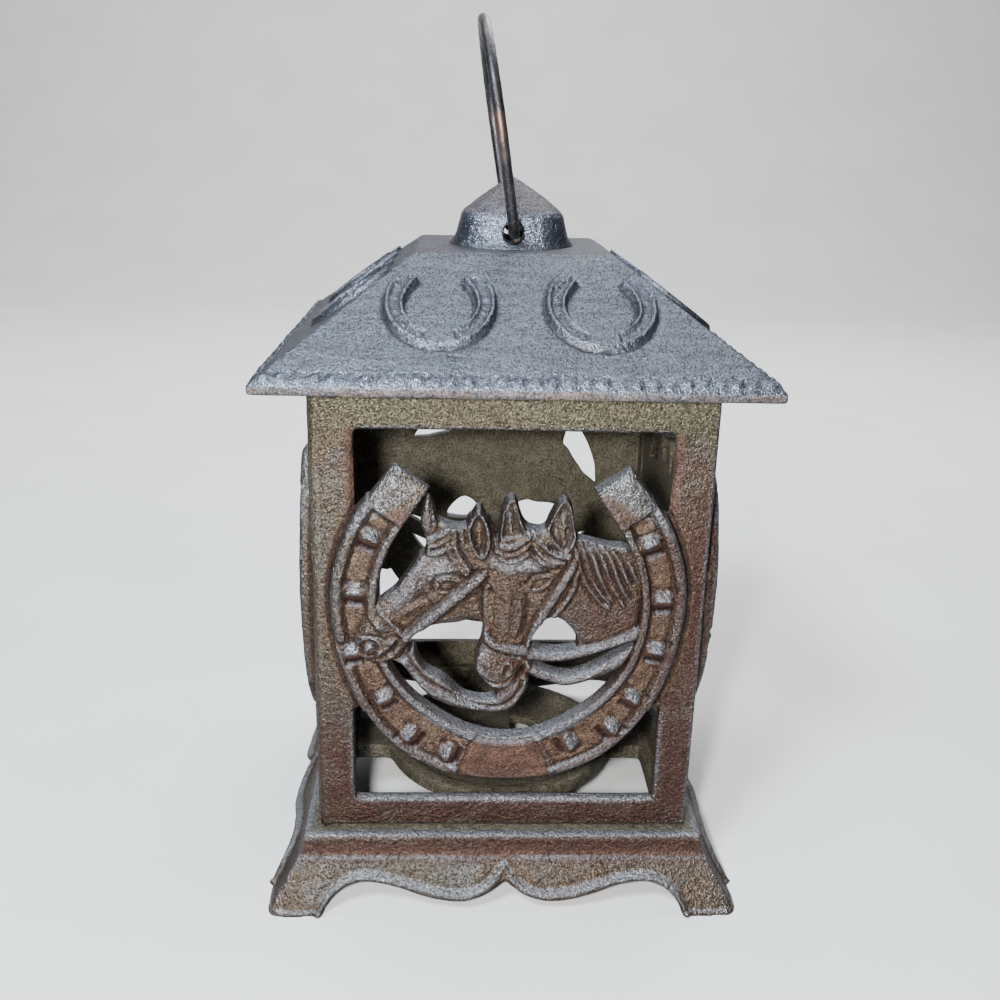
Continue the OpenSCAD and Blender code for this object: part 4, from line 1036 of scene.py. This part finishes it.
def build_roof(h=0.44):
    x, y, z = grid3((-81.4, -81.4, 179.2), (81.4, 81.4, 220), h)
    ax, ay = abs(x), abs(y)
    m = smax(ax, ay, 0.7)
    G, R = roof_relief()
    cs, sn = 0.8100, 0.5865
    front = ay >= ax
    u = np.where(front, np.where(y < 0, x, -x), np.where(x > 0, y, -y))
    s = (78.4 - np.maximum(ax, ay)) / cs
    rel = look_up(R, G.xs[0], G.zs[0], G.g, u[:, :, 0], s[:, :, 0]).astype(np.float32)
    ripple = 0.18 * wavy(x, y, 131, 26)
    out = (78.4 - m) * sn + (184.8 - z) * cs + rel[:, :, None]
    lip = smin(79.8 + ripple * 0.7 - m, z - (180.4 + 0.3 * ripple), 1.0)
    f = smin(out, lip, 0.7)
    f = smin(f, 218.3 + 0.14 * wavy(x, y, 132, 9) - z, 0.5)
    # hollow underside with its seat for the panels
    hol = (77.9 - (z - 180.5) * 1.3815 - np.maximum(ax, ay)) * sn
    hol = smin(hol, 213.4 - z, 1.2)
    core = np.minimum(np.minimum(66.0 - np.maximum(ax, ay), np.maximum(ax, ay) - 56.0), 199 - z)
    hol = np.minimum(hol, -smin(core, out - 0.6, 0.5))
    for px, py in ROOF_SCREWS:
        b = 5.5 - np.sqrt((x - px) ** 2 + (y - py) ** 2)
        b = np.minimum(b, 192.5 - z)
        hol = np.minimum(hol, -b)
    cut = np.maximum(hol, 15.5 - np.sqrt(x * x + y * y) + 0 * z)
    f = smin(f, -cut, 0.5)
    for px, py in ROOF_SCREWS:
        d = np.sqrt((x - px) ** 2 + (y - py) ** 2) - 2.02
        f = np.minimum(f, np.maximum(d, z - 189.5))
    d = np.sqrt((x + 61.5) ** 2 + (y + 61.5) ** 2) - 2.1
    f = np.minimum(f, np.maximum(d, z - 188.0)).astype(np.float32)
    v, q = nets(f, (x[0, 0, 0], y[0, 0, 0], z[0, 0, 0]), h)
    del f, out, lip, hol, cut, core
    up, lo, n, q = wear_masks(v, q, 2, 12, 1.2)
    mm = np.maximum(abs(v[:, 0]), abs(v[:, 1]))
    under = ((78.4 - mm) * sn + (184.9 - v[:, 2]) * cs > 2.2) & (v[:, 2] < 217)
    rim = (v[:, 2] < 183.6) & (mm > 77.8)
    slope = (78.4 - mm) * sn + (184.8 - v[:, 2]) * cs
    lobes = step(3.4, 4.6, v[:, 2] - 179.6) * step(73.0, 75.0, mm) * (slope < 1.6)
    # less painted sheen under the eave, and painted highlights on the eave's lobes
    return v, q, {"worn_and_sheen": np.where(under, up * 0.4, up), "hollow": lo * (1 - 0.5 * lobes), "painted_highlight": 1.0 * lobes,
                  "rust_and_shade": 0.35 * step(217.4, 218.0, v[:, 2]),
                  "inner": np.where(under & ~rim, 1.0, 0.0), "sand": rim * 1.0}


def build_finial(h=0.3):
    x, y, z = grid3((-23.5, -23.5, 213.5), (23.5, 23.5, 242), h)
    P = [(22.6, 212), (22.2, 217.6), (21.6, 218.5), (20.9, 219.1), (20.0, 220.3), (19.4, 221.6), (19.0, 223), (18.1, 226.3),
         (17.6, 228.2), (16.7, 229.6), (12.6, 232.9), (7.8, 236.3), (4.4, 238.5), (2.2, 239.8), (0.9, 240.5), (0.02, 240.75)]
    zz = np.array([p[1] for p in P])
    rr = np.array([p[0] for p in P])
    n = np.interp(z, [218, 221, 228, 233, 239], [2.0, 2.5, 3.1, 2.9, 2.2])
    rho = (np.abs(x) ** n + np.abs(y) ** n + 1e-9) ** (1 / n)
    r = np.interp(z, zz, rr)
    k = np.interp(z, [218, 227, 229.5, 231, 242], [0.96, 0.96, 0.7, 0.58, 0.56])
    f = (r - rho) * k
    f = np.where(z > 240.75, -np.abs(z - 240.75) - rho * 0.3, f)
    f = smin(f, z - 214.2, 0.5)
    f = f + 0.16 * wavy(x + 0 * y, y + 0 * x, 141, 8, 2, z) + 0.06 * wavy(x + 0 * y, y + 0 * x, 142, 2.2, 1, z)
    hol = np.interp(z, [210, 212.3, 224.7, 229, 232.5, 235.2], [15.5, 15.5, 14.6, 11.2, 6, 0]) - np.sqrt(x * x + y * y)
    hol = np.where(z > 235.2, -(z - 235.2) - 0.2, hol)
    hole = 3.25 - np.sqrt(x ** 2 + (z - 223.4) ** 2) + 0 * y
    hole = hole + 0.5 * np.exp(-np.maximum(f, 0) / 0.7)
    f = smin(f, -np.maximum(hol, hole), 0.4).astype(np.float32)
    v, q = nets(f, (x[0, 0, 0], y[0, 0, 0], z[0, 0, 0]), h)
    up, lo, n_, q = wear_masks(v, q, 3, 16)
    rad = np.hypot(v[:, 0], v[:, 1])
    inner = (rad < np.interp(v[:, 2], [214, 224.7, 229, 232.5, 235.2, 236], [16.2, 15.6, 12.4, 7.4, 2, 0])) * 1.0
    cap = step(228.6, 230.4, v[:, 2] + 0.5 * np.sin(v[:, 0] * 0.7))
    band = step(219.2, 220.6, v[:, 2]) * (1 - cap)
    # painted highlight on the band near the finial's foot
    return v, q, {"worn_and_sheen": np.maximum(up, 0.4 * band), "hollow": lo, "rust_and_shade": 0.5 * cap, "painted_highlight": 0.7 * band, "inner": inner}


ROOF_SCREWS = [(-30, 54), (30, 54), (-55, -30), (-55, 30), (55, -30), (55, 30)]


# ----------------------------------------------------------------------- bail
def build_bail():
    """The wire, swept along its centre line, with a little unevenness from bending by hand."""
    r, br, lean, rise, R, z0 = 1.8, 6.0, math.radians(15), 67.7, 33.0, 223.4
    vc = rise - R
    axx = R * math.cos(lean)
    azz = vc - R * math.sin(lean)
    bz = br - br * math.sin(lean)
    run = (azz - bz) / math.cos(lean)
    bx = axx - run * math.sin(lean)
    fx = bx - br * math.cos(lean)
    half = []
    for k in range(9):
        half.append((11 + (fx - 11) * k / 8, 0.0))
    for k in range(1, 15):
        a = (math.pi / 2 - lean) * k / 14
        half.append((fx + br * math.sin(a), br - br * math.cos(a)))
    for k in range(1, 13):
        t = run * k / 12
        half.append((bx + t * math.sin(lean), bz + t * math.cos(lean)))
    for k in range(1, 49):
        a = -lean + (math.pi / 2 + lean) * k / 48
        half.append((R * math.cos(a), vc + R * math.sin(a)))
    pts = half + [(-p, q) for p, q in half[-2::-1]]
    pts = np.array(pts)
    ln = math.radians(9.5)
    n = 28
    v, faces = [], []
    c = np.stack([-math.sin(ln) * pts[:, 1], pts[:, 0], z0 + math.cos(ln) * pts[:, 1]], 1)
    side = np.array([math.cos(ln), 0, math.sin(ln)])
    tan = np.gradient(c, axis=0)
    tan /= np.linalg.norm(tan, axis=1, keepdims=True)
    up = np.cross(tan, side)
    L = np.concatenate([[0], np.cumsum(np.linalg.norm(np.diff(c, axis=0), axis=1))])
    rows = []
    for i in range(len(c)):
        rows.append((c[i], r, i))
    for i, (p, rad, j) in enumerate(rows):
        for k in range(n):
            a = 2 * math.pi * k / n
            d = math.cos(a) * side + math.sin(a) * up[j]
            q = rad * (1 + 0.018 * math.sin(L[j] * 0.9 + 2 * a) + 0.014 * math.sin(L[j] * 2.3 - a * 3))
            if j in (0, len(c) - 1):
                q *= 0.72
            if j in (1, len(c) - 2):
                q *= 0.97
            v.append(p + d * q)
    m = len(rows)
    for i in range(m - 1):
        for k in range(n):
            k2 = (k + 1) % n
            faces.append((i * n + k, i * n + k2, (i + 1) * n + k2, (i + 1) * n + k))
    faces.append(tuple(range(n))[::-1])
    faces.append(tuple((m - 1) * n + k for k in range(n)))
    return np.array(v), faces


# ------------------------------------------------------------------ materials
class Mat:
    def __init__(self, name):
        self.mat = bpy.data.materials.new(name)
        self.mat.use_nodes = True
        self.nt = self.mat.node_tree
        self.nt.nodes.clear()
        self.out = self.nt.nodes.new("ShaderNodeOutputMaterial")
        self.b = self.nt.nodes.new("ShaderNodeBsdfPrincipled")
        self.nt.links.new(self.b.outputs["BSDF"], self.out.inputs["Surface"])
        self.tc = self.nt.nodes.new("ShaderNodeTexCoord").outputs["Object"]

    def put(self, sock, val):
        if hasattr(val, "links"):
            self.nt.links.new(val, sock)
        elif isinstance(val, tuple):
            sock.default_value = (*val, 1.0) if len(val) == 3 and sock.type == "RGBA" else val
        else:
            sock.default_value = val

    def noise(self, scale, detail=2.0, rough=0.5, stretch=None, dist=0.0):
        vec = self.tc
        if stretch:
            mp = self.nt.nodes.new("ShaderNodeMapping")
            mp.inputs["Scale"].default_value = stretch
            self.nt.links.new(vec, mp.inputs["Vector"])
            vec = mp.outputs["Vector"]
        n = self.nt.nodes.new("ShaderNodeTexNoise")
        for k, v in (("Scale", scale), ("Detail", detail), ("Roughness", rough), ("Distortion", dist)):
            n.inputs[k].default_value = v
        self.nt.links.new(vec, n.inputs["Vector"])
        return n.outputs["Fac"]

    def cells(self, scale, rand=1.0):
        n = self.nt.nodes.new("ShaderNodeTexVoronoi")
        n.feature = "SMOOTH_F1"
        n.inputs["Scale"].default_value = scale
        n.inputs["Smoothness"].default_value = 0.35
        n.inputs["Randomness"].default_value = rand
        self.nt.links.new(self.tc, n.inputs["Vector"])
        return n.outputs["Distance"]

    def attr(self, name):
        n = self.nt.nodes.new("ShaderNodeAttribute")
        n.attribute_name = name
        return n.outputs["Fac"]

    def ramp(self, fac, lo, hi, a=0.0, b=1.0):
        n = self.nt.nodes.new("ShaderNodeMapRange")
        n.interpolation_type = "SMOOTHSTEP"
        for k, v in (("Value", fac), ("From Min", lo), ("From Max", hi), ("To Min", a), ("To Max", b)):
            self.put(n.inputs[k], v)
        return n.outputs["Result"]

    def math(self, op, a, b=0.0, clamp=False):
        n = self.nt.nodes.new("ShaderNodeMath")
        n.operation = op
        n.use_clamp = clamp
        self.put(n.inputs[0], a)
        self.put(n.inputs[1], b)
        return n.outputs[0]

    def mix(self, fac, a, b):
        m = self.nt.nodes.new("ShaderNodeMix")
        m.data_type = "RGBA"
        for s, v in (("Factor", fac), ("A", a), ("B", b)):
            self.put(m.inputs[s], v)
        return m.outputs["Result"]

    def sep(self):
        n = self.nt.nodes.new("ShaderNodeSeparateXYZ")
        self.nt.links.new(self.tc, n.inputs["Vector"])
        return n.outputs

    def bump(self, height, dist, strength, prev=None):
        n = self.nt.nodes.new("ShaderNodeBump")
        n.inputs["Strength"].default_value = strength
        n.inputs["Distance"].default_value = dist
        self.nt.links.new(height, n.inputs["Height"])
        if prev is not None:
            self.nt.links.new(prev, n.inputs["Normal"])
        return n.outputs["Normal"]

    def done(self, **kw):
        for k, v in kw.items():
            self.put(self.b.inputs[k.replace("_", " ")], v)
        return self.mat


def cast_iron(name, body, brown, cool, edge, low_tone, crest_sheen, streak=0.0, top_light_and_dust=0.6, low_dull=0.30, rough_k=1.0, hollow_dust_and_shade=(0.061, 0.038, 0.022)):
    """Sand cast iron under a thin dark lacquer: ochre dirt and painted shade in the hollows, a painted sheen and glints
    on the crests.
    """
    M = Mat(name)
    grain = M.noise(1200, 2.0, 0.6)
    fine = M.noise(2500, 1.0, 0.5)
    pits = M.cells(560)
    mid = M.noise(260, 3.0, 0.55)
    blot = M.noise(34, 4.0, 0.6, dist=0.4)
    blot2 = M.noise(110, 3.0, 0.55)
    worn_and_sheen, hollow, rust_and_shade, inner, sand, painted_highlight = (M.attr(k) for k in ("worn_and_sheen", "hollow", "rust_and_shade", "inner", "sand", "painted_highlight"))
    xyz = M.sep()
    geo = M.nt.nodes.new("ShaderNodeNewGeometry")
    spl = M.nt.nodes.new("ShaderNodeSeparateXYZ")
    M.nt.links.new(geo.outputs["Normal"], spl.inputs["Vector"])
    g = M.math("ADD", M.math("MULTIPLY", grain, 0.5), M.math("MULTIPLY", fine, 0.5))
    outer = M.math("SUBTRACT", 1.0, inner, True)
    # dark iron with brown bloom, cooler patches between
    c = M.mix(M.ramp(blot, 0.36, 0.64), body, brown)
    c = M.mix(M.math("MULTIPLY", M.ramp(blot2, 0.48, 0.72), 0.6), c, cool)
    # it turns a darker maroon low down and to the right: painted shade with a painted reddish reflection
    t = M.math("ADD", M.math("MULTIPLY", xyz["Z"], -7.0), M.math("MULTIPLY", xyz["X"], 4.0))
    t = M.math("ADD", t, M.math("MULTIPLY", blot, 0.8))
    low = M.math("MULTIPLY", M.ramp(t, -0.70, -0.12), M.ramp(xyz["Z"], 0.013, 0.018, 0.0, 0.95))
    low = M.math("MULTIPLY", low, M.ramp(blot2, 0.32, 0.58, 0.50, 1.0))
    c = M.mix(low, c, low_tone)
    # near the top, under the eave, a painted greenish reflection tints it olive
    c = M.mix(M.math("MULTIPLY", M.ramp(xyz["Z"], 0.158, 0.172), 0.7), c, (body[0] * 1.1, body[1] * 1.15, body[2] * 0.85))
    # hollows hold ochre dirt on the body, and a dark painted shade on the roof
    c = M.mix(M.ramp(hollow, 0.04, 0.45, 0.0, 0.70), c, hollow_dust_and_shade)
    # painted sheen: crests take a lighter, cooler tone than the body, along with their wear
    c = M.mix(M.ramp(worn_and_sheen, 0.08, 0.6, 0.0, 0.80), c, crest_sheen)
    # rusty colour with painted shade, ochre sand and the dull olive inside
    rc = M.mix(M.ramp(mid, 0.35, 0.65), (0.0320, 0.0165, 0.0120), (0.0600, 0.0320, 0.0225))
    rf = M.math("MULTIPLY", rust_and_shade, M.ramp(blot2, 0.25, 0.6, 0.75, 0.98))
    c = M.mix(rf, c, rc)
    sc = M.mix(M.ramp(mid, 0.35, 0.65), (0.0435, 0.0249, 0.0145), (0.0986, 0.0684, 0.0441))
    sf = M.math("MULTIPLY", sand, M.ramp(blot2, 0.3, 0.6, 0.25, 0.65))
    c = M.mix(sf, c, sc)
    ic = M.mix(M.ramp(mid, 0.35, 0.65), (0.0440, 0.0405, 0.0285), (0.0640, 0.0595, 0.0430))
    c = M.mix(M.math("MULTIPLY", inner, 0.94), c, ic)
    # painted shade: the deepest hollows go almost black
    c = M.mix(M.math("MULTIPLY", M.ramp(hollow, 0.38, 0.85, 0.0, 0.90), M.ramp(mid, 0.3, 0.6, 0.7, 1.0)), c, (0.0081, 0.0035, 0.0029))
    # upward faces turn a lighter bluish tone: painted top light together with a dusty film
    up = M.math("MULTIPLY", M.ramp(spl.outputs["Z"], 0.50, 0.92), top_light_and_dust)
    up = M.math("MULTIPLY", M.math("MULTIPLY", up, outer), M.math("SUBTRACT", 1.0, M.math("MULTIPLY", hollow, 0.5), True))
    # painted highlights share the light cool colour of the tops
    k = M.math("MAXIMUM", M.math("MULTIPLY", painted_highlight, M.ramp(mid, 0.3, 0.55, 0.20, 0.55)), up)
    c = M.mix(k, c, edge)
    if streak:
        st = M.noise(430, 3.0, 0.6, (0.16, 0.16, 2.2))
        c = M.mix(M.math("MULTIPLY", M.ramp(st, 0.54, 0.40), streak), c, tuple(q * 0.35 for q in body))
    # dark pits in the grain
    dark = M.nt.nodes.new("ShaderNodeMix")
    dark.data_type = "RGBA"
    dark.blend_type = "MULTIPLY"
    M.put(dark.inputs["Factor"], M.ramp(g, 0.53, 0.42, 0.0, 0.80))
    M.put(dark.inputs["A"], c)
    M.put(dark.inputs["B"], (0.20, 0.15, 0.13))
    c = dark.outputs["Result"]
    dull = M.math("MAXIMUM", M.math("MAXIMUM", rf, sf), M.math("MAXIMUM", inner, M.math("MULTIPLY", hollow, 0.8)))
    dull = M.math("MAXIMUM", dull, M.math("MULTIPLY", low, low_dull))
    rough = M.ramp(g, 0.40, 0.60, 0.54, 0.32)
    rough = M.math("SUBTRACT", rough, M.math("MULTIPLY", M.math("MAXIMUM", worn_and_sheen, painted_highlight), 0.12))
    rough = M.math("ADD", rough, M.math("MULTIPLY", dull, 0.20), True)
    metal = M.math("SUBTRACT", 0.93, M.math("MULTIPLY", M.math("MAXIMUM", dull, M.math("MULTIPLY", up, 0.6)), 0.75), True)
    n = M.bump(mid, 0.0007 * rough_k, 0.5)
    n = M.bump(pits, 0.0007 * rough_k, 0.5, n)
    n = M.bump(grain, 0.00074 * rough_k, 1.0, n)
    n = M.bump(fine, 0.00030, 0.9, n)
    M.nt.links.new(n, M.b.inputs["Coat Normal"])
    M.put(M.b.inputs["Coat Weight"], M.math("MULTIPLY", M.math("SUBTRACT", 1.0, dull, True), 0.14))
    M.b.inputs["Specular Tint"].default_value = (0.30, 0.28, 0.28, 1.0)
    M.b.inputs["Specular IOR Level"].default_value = 0.38
    M.b.inputs["Coat Roughness"].default_value = 0.24
    return M.done(Base_Color=c, Roughness=rough, Metallic=metal, Normal=n)


def wire_iron(name, dark, mid_c, light):
    M = Mat(name)
    grain = M.noise(1500, 3.0, 0.6)
    blot = M.noise(120, 3.0, 0.6)
    c = M.mix(M.ramp(blot, 0.35, 0.65), dark, mid_c)
    c = M.mix(M.ramp(grain, 0.52, 0.7), c, light)
    c = M.mix(M.ramp(M.noise(60, 2.0), 0.55, 0.75), c, (0.07, 0.04, 0.03))
    n = M.bump(grain, 0.0002, 0.7)
    return M.done(Base_Color=c, Roughness=M.ramp(grain, 0.3, 0.7, 0.5, 0.3), Metallic=0.8, Normal=n)


iron = cast_iron("iron_body", (0.062, 0.056, 0.045), (0.060, 0.043, 0.030), (0.068, 0.066, 0.066), (0.160, 0.175, 0.195),
                 (0.034, 0.0155, 0.0122), (0.080, 0.076, 0.080))
roof_iron = cast_iron("iron_roof", (0.062, 0.070, 0.102), (0.066, 0.066, 0.085), (0.070, 0.082, 0.128), (0.110, 0.130, 0.170),
                      (0.056, 0.058, 0.078), (0.095, 0.105, 0.140), 0.35, 0.15, 0.0, 0.50, (0.020, 0.020, 0.028))
wire = wire_iron("wire", (0.0132, 0.0126, 0.0138), (0.0252, 0.0246, 0.0276), (0.0720, 0.0720, 0.0840))
steel = wire_iron("screw_steel", (0.0600, 0.0570, 0.0540), (0.1200, 0.1140, 0.1080), (0.2040, 0.1980, 0.1860))


# --------------------------------------------------------------- the object
PANEL = panel()


def shell_box(lo, hi, r, seg=3):
    """A small cast block with rounded edges."""
    bm = bmesh.new()
    bmesh.ops.create_cube(bm, size=1)
    for b in bm.verts:
        b.co = Vector([(lo[k] + hi[k]) / 2 + b.co[k] * (hi[k] - lo[k]) for k in range(3)])
    bmesh.ops.bevel(bm, geom=bm.edges[:], offset=r, segments=seg, affect="EDGES", profile=0.5)
    v = [tuple(b.co) for b in bm.verts]
    bm.verts.index_update()
    f = [tuple(p.index for p in fa.verts) for fa in bm.faces]
    bm.free()
    return v, f


def add_panel(name, place, half, ears, door, body, node, mat):
    v, q = panel_solid(half, ears, door)
    G, H, S = PANEL
    worn_and_sheen, hollow, rust_and_shade, sand, painted_highlight = paint(v, G, H, S)
    u2, l2, n, q = wear_masks(v, q, 2, 8)
    side = np.clip(1 - abs(n[:, 1]) * 1.3, 0, 1)
    worn_and_sheen = np.clip(worn_and_sheen + 0.5 * u2 * (v[:, 1] > -1.0) + 0.2 * u2, 0, 1)
    inner = np.maximum(v[:, 1] < -1.6, (n[:, 1] < -0.35) & (v[:, 1] < 1.2)) * 1.0
    inner = np.where((side > 0.3) & (v[:, 1] > -4.2), 0.35 * inner, inner)
    masks = {"worn_and_sheen": worn_and_sheen * (1 - 0.6 * inner), "hollow": hollow, "rust_and_shade": rust_and_shade, "inner": inner, "sand": sand, "painted_highlight": painted_highlight}
    w = place(v)
    _, q = facing(w, q)
    extra = []
    if ears:
        for s in (-30, 30):
            bv, bf = shell_box((s - 6, -15.0, 177.5), (s + 6, -4.0, 181.5), 0.8)
            extra.append((bv, bf))
    if door:
        prof = [(0, 19.5), (1.5, 19.5), (1.85, 19.7), (2.0, 20.1), (2.0, 24.4), (2.38, 24.6), (2.4, 25.0), (2.45, 25.3),
                (2.5, 25.8), (2.5, 179.2), (2.4, 179.6), (2.2, 179.8), (2.0, 179.9), (2.0, 186.0), (1.85, 186.4), (1.5, 186.6),
                (0, 186.6)]
        bv, bf = lathe(prof, 40, (-61.5, -2.5))
        extra.append((bv, bf))
    shells = []
    for bv, bf in extra:
        bw = place(np.array(bv, float))
        flip = np.linalg.det(np.array([place(np.eye(3)[k:k + 1])[0] - place(np.zeros((1, 3)))[0] for k in range(3)])) < 0
        bf = [f[::-1] for f in bf] if flip else bf
        shells.append((bw, bf, {"inner": 0.8 if ears else 0.2, "worn_and_sheen": 0.1}))
    return solid(name, w, q, masks, mat, body, [node], extra=shells)


def at_front(p):
    return np.stack([p[:, 0], -64 - p[:, 1], p[:, 2]], 1)


def at_back(p):
    return np.stack([-p[:, 0], 64 + p[:, 1], p[:, 2]], 1)


def at_left(p):
    return np.stack([-65 - p[:, 1], -p[:, 0], p[:, 2]], 1)


def at_right(p):
    return np.stack([65 + p[:, 1], p[:, 0], p[:, 2]], 1)


add_panel("door_casting", at_front, 64, False, True, "door", "front_door", iron)
add_panel("back_casting", at_back, 64, True, False, "lantern", "back_panel", iron)
add_panel("left_casting", at_left, 58.7, True, False, "lantern", "left_panel", iron)
add_panel("right_casting", at_right, 58.7, True, False, "lantern", "right_panel", iron)

v, q, masks = build_base()
solid("base_casting", v, q, masks, iron, "lantern", ["base"])
v, q, masks = build_roof()
solid("roof_casting", v, q, masks, roof_iron, "lantern", ["roof"])
v, q, masks = build_finial()
solid("finial_casting", v, q, masks, roof_iron, "lantern", ["roof"])

v, f = build_bail()
me = bpy.data.meshes.new("bail_wire")
me.from_pydata((v / 1000).tolist(), [], f)
me.materials.append(wire)
me.shade_smooth()
ob = bpy.data.objects.new("bail_wire", me)
bpy.context.collection.objects.link(ob)
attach(ob, "bail")
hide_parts("bail_handle")

for name in ("base_screws", "roof_screws"):
    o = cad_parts[name]
    o.data.materials.clear()
    o.data.materials.append(steel)


# --------------------------------------------------------------------- stage
me = bpy.data.meshes.new("floor")
wide, rows = 12.0, [(-3.0, 0.0), (1.3, 0.0)]
for k in range(1, 25):
    a = math.pi / 2 * k / 24
    rows.append((1.3 + 1.2 * math.sin(a), 1.2 - 1.2 * math.cos(a)))
rows.append((2.5, 4.0))
vs, fs = [], []
for y, z in rows:
    vs += [(-wide, y, z), (wide, y, z)]
for k in range(len(rows) - 1):
    fs.append((2 * k, 2 * k + 1, 2 * k + 3, 2 * k + 2))
me.from_pydata(vs, [], fs)
me.shade_smooth()
floor = bpy.data.objects.new("floor", me)
bpy.context.collection.objects.link(floor)
M = Mat("floor")
fl = M.mix(M.ramp(M.noise(9, 3.0), 0.3, 0.7), (0.37, 0.37, 0.365), (0.39, 0.39, 0.385))
me.materials.append(M.done(Base_Color=fl, Roughness=0.9))

world = bpy.data.worlds.new("world")
bpy.context.scene.world = world
world.use_nodes = True
world.node_tree.nodes["Background"].inputs["Color"].default_value = (0.88, 0.90, 0.93, 1)
world.node_tree.nodes["Background"].inputs["Strength"].default_value = 0.09


def area(name, pos, aim, size, power, col=(1, 1, 1)):
    li = bpy.data.lights.new(name, "AREA")
    li.shape = "DISK"
    li.size = size
    li.energy = power
    li.color = col
    ob = bpy.data.objects.new(name, li)
    bpy.context.collection.objects.link(ob)
    ob.location = pos
    ob.rotation_mode = "QUATERNION"
    ob.rotation_quaternion = (Vector(aim) - Vector(pos)).to_track_quat("-Z", "Y")
    return ob


area("key", (-0.058, -0.400, 0.262), (0, 0, 0.13), 0.030, 7.5, (1.0, 0.985, 0.965))
area("over", (-0.42, -0.66, 0.95), (0, 0, 0.12), 0.26, 38, (0.76, 0.87, 1.0))
area("back", (0.35, 0.75, 0.9), (0, 0, 0.15), 0.5, 9, (0.93, 0.95, 1.0))
area("sweep", (0.0, 0.55, 1.5), (0, 2.2, 0.3), 1.6, 112, (1.0, 1.0, 1.0))

# -------------------------------------------------------------------- camera
cam = bpy.data.cameras.new("camera")
cam.sensor_fit = "HORIZONTAL"
cam.sensor_width = 36.0
cam.lens = 39.02
cam.clip_start = 0.01
cam_ob = bpy.data.objects.new("camera", cam)
bpy.context.collection.objects.link(cam_ob)
R, U, F = (0.99907, -0.03505, 0.02499), (-0.01261, 0.31687, 0.94839), (0.04116, 0.94782, -0.31613)
m = Matrix.Identity(4)
for i in range(3):
    m[i][0], m[i][1], m[i][2] = R[i], U[i], -F[i]
m[0][3], m[1][3], m[2][3] = -0.018340, -0.388049, 0.253057
cam_ob.matrix_world = m
bpy.context.scene.camera = cam_ob
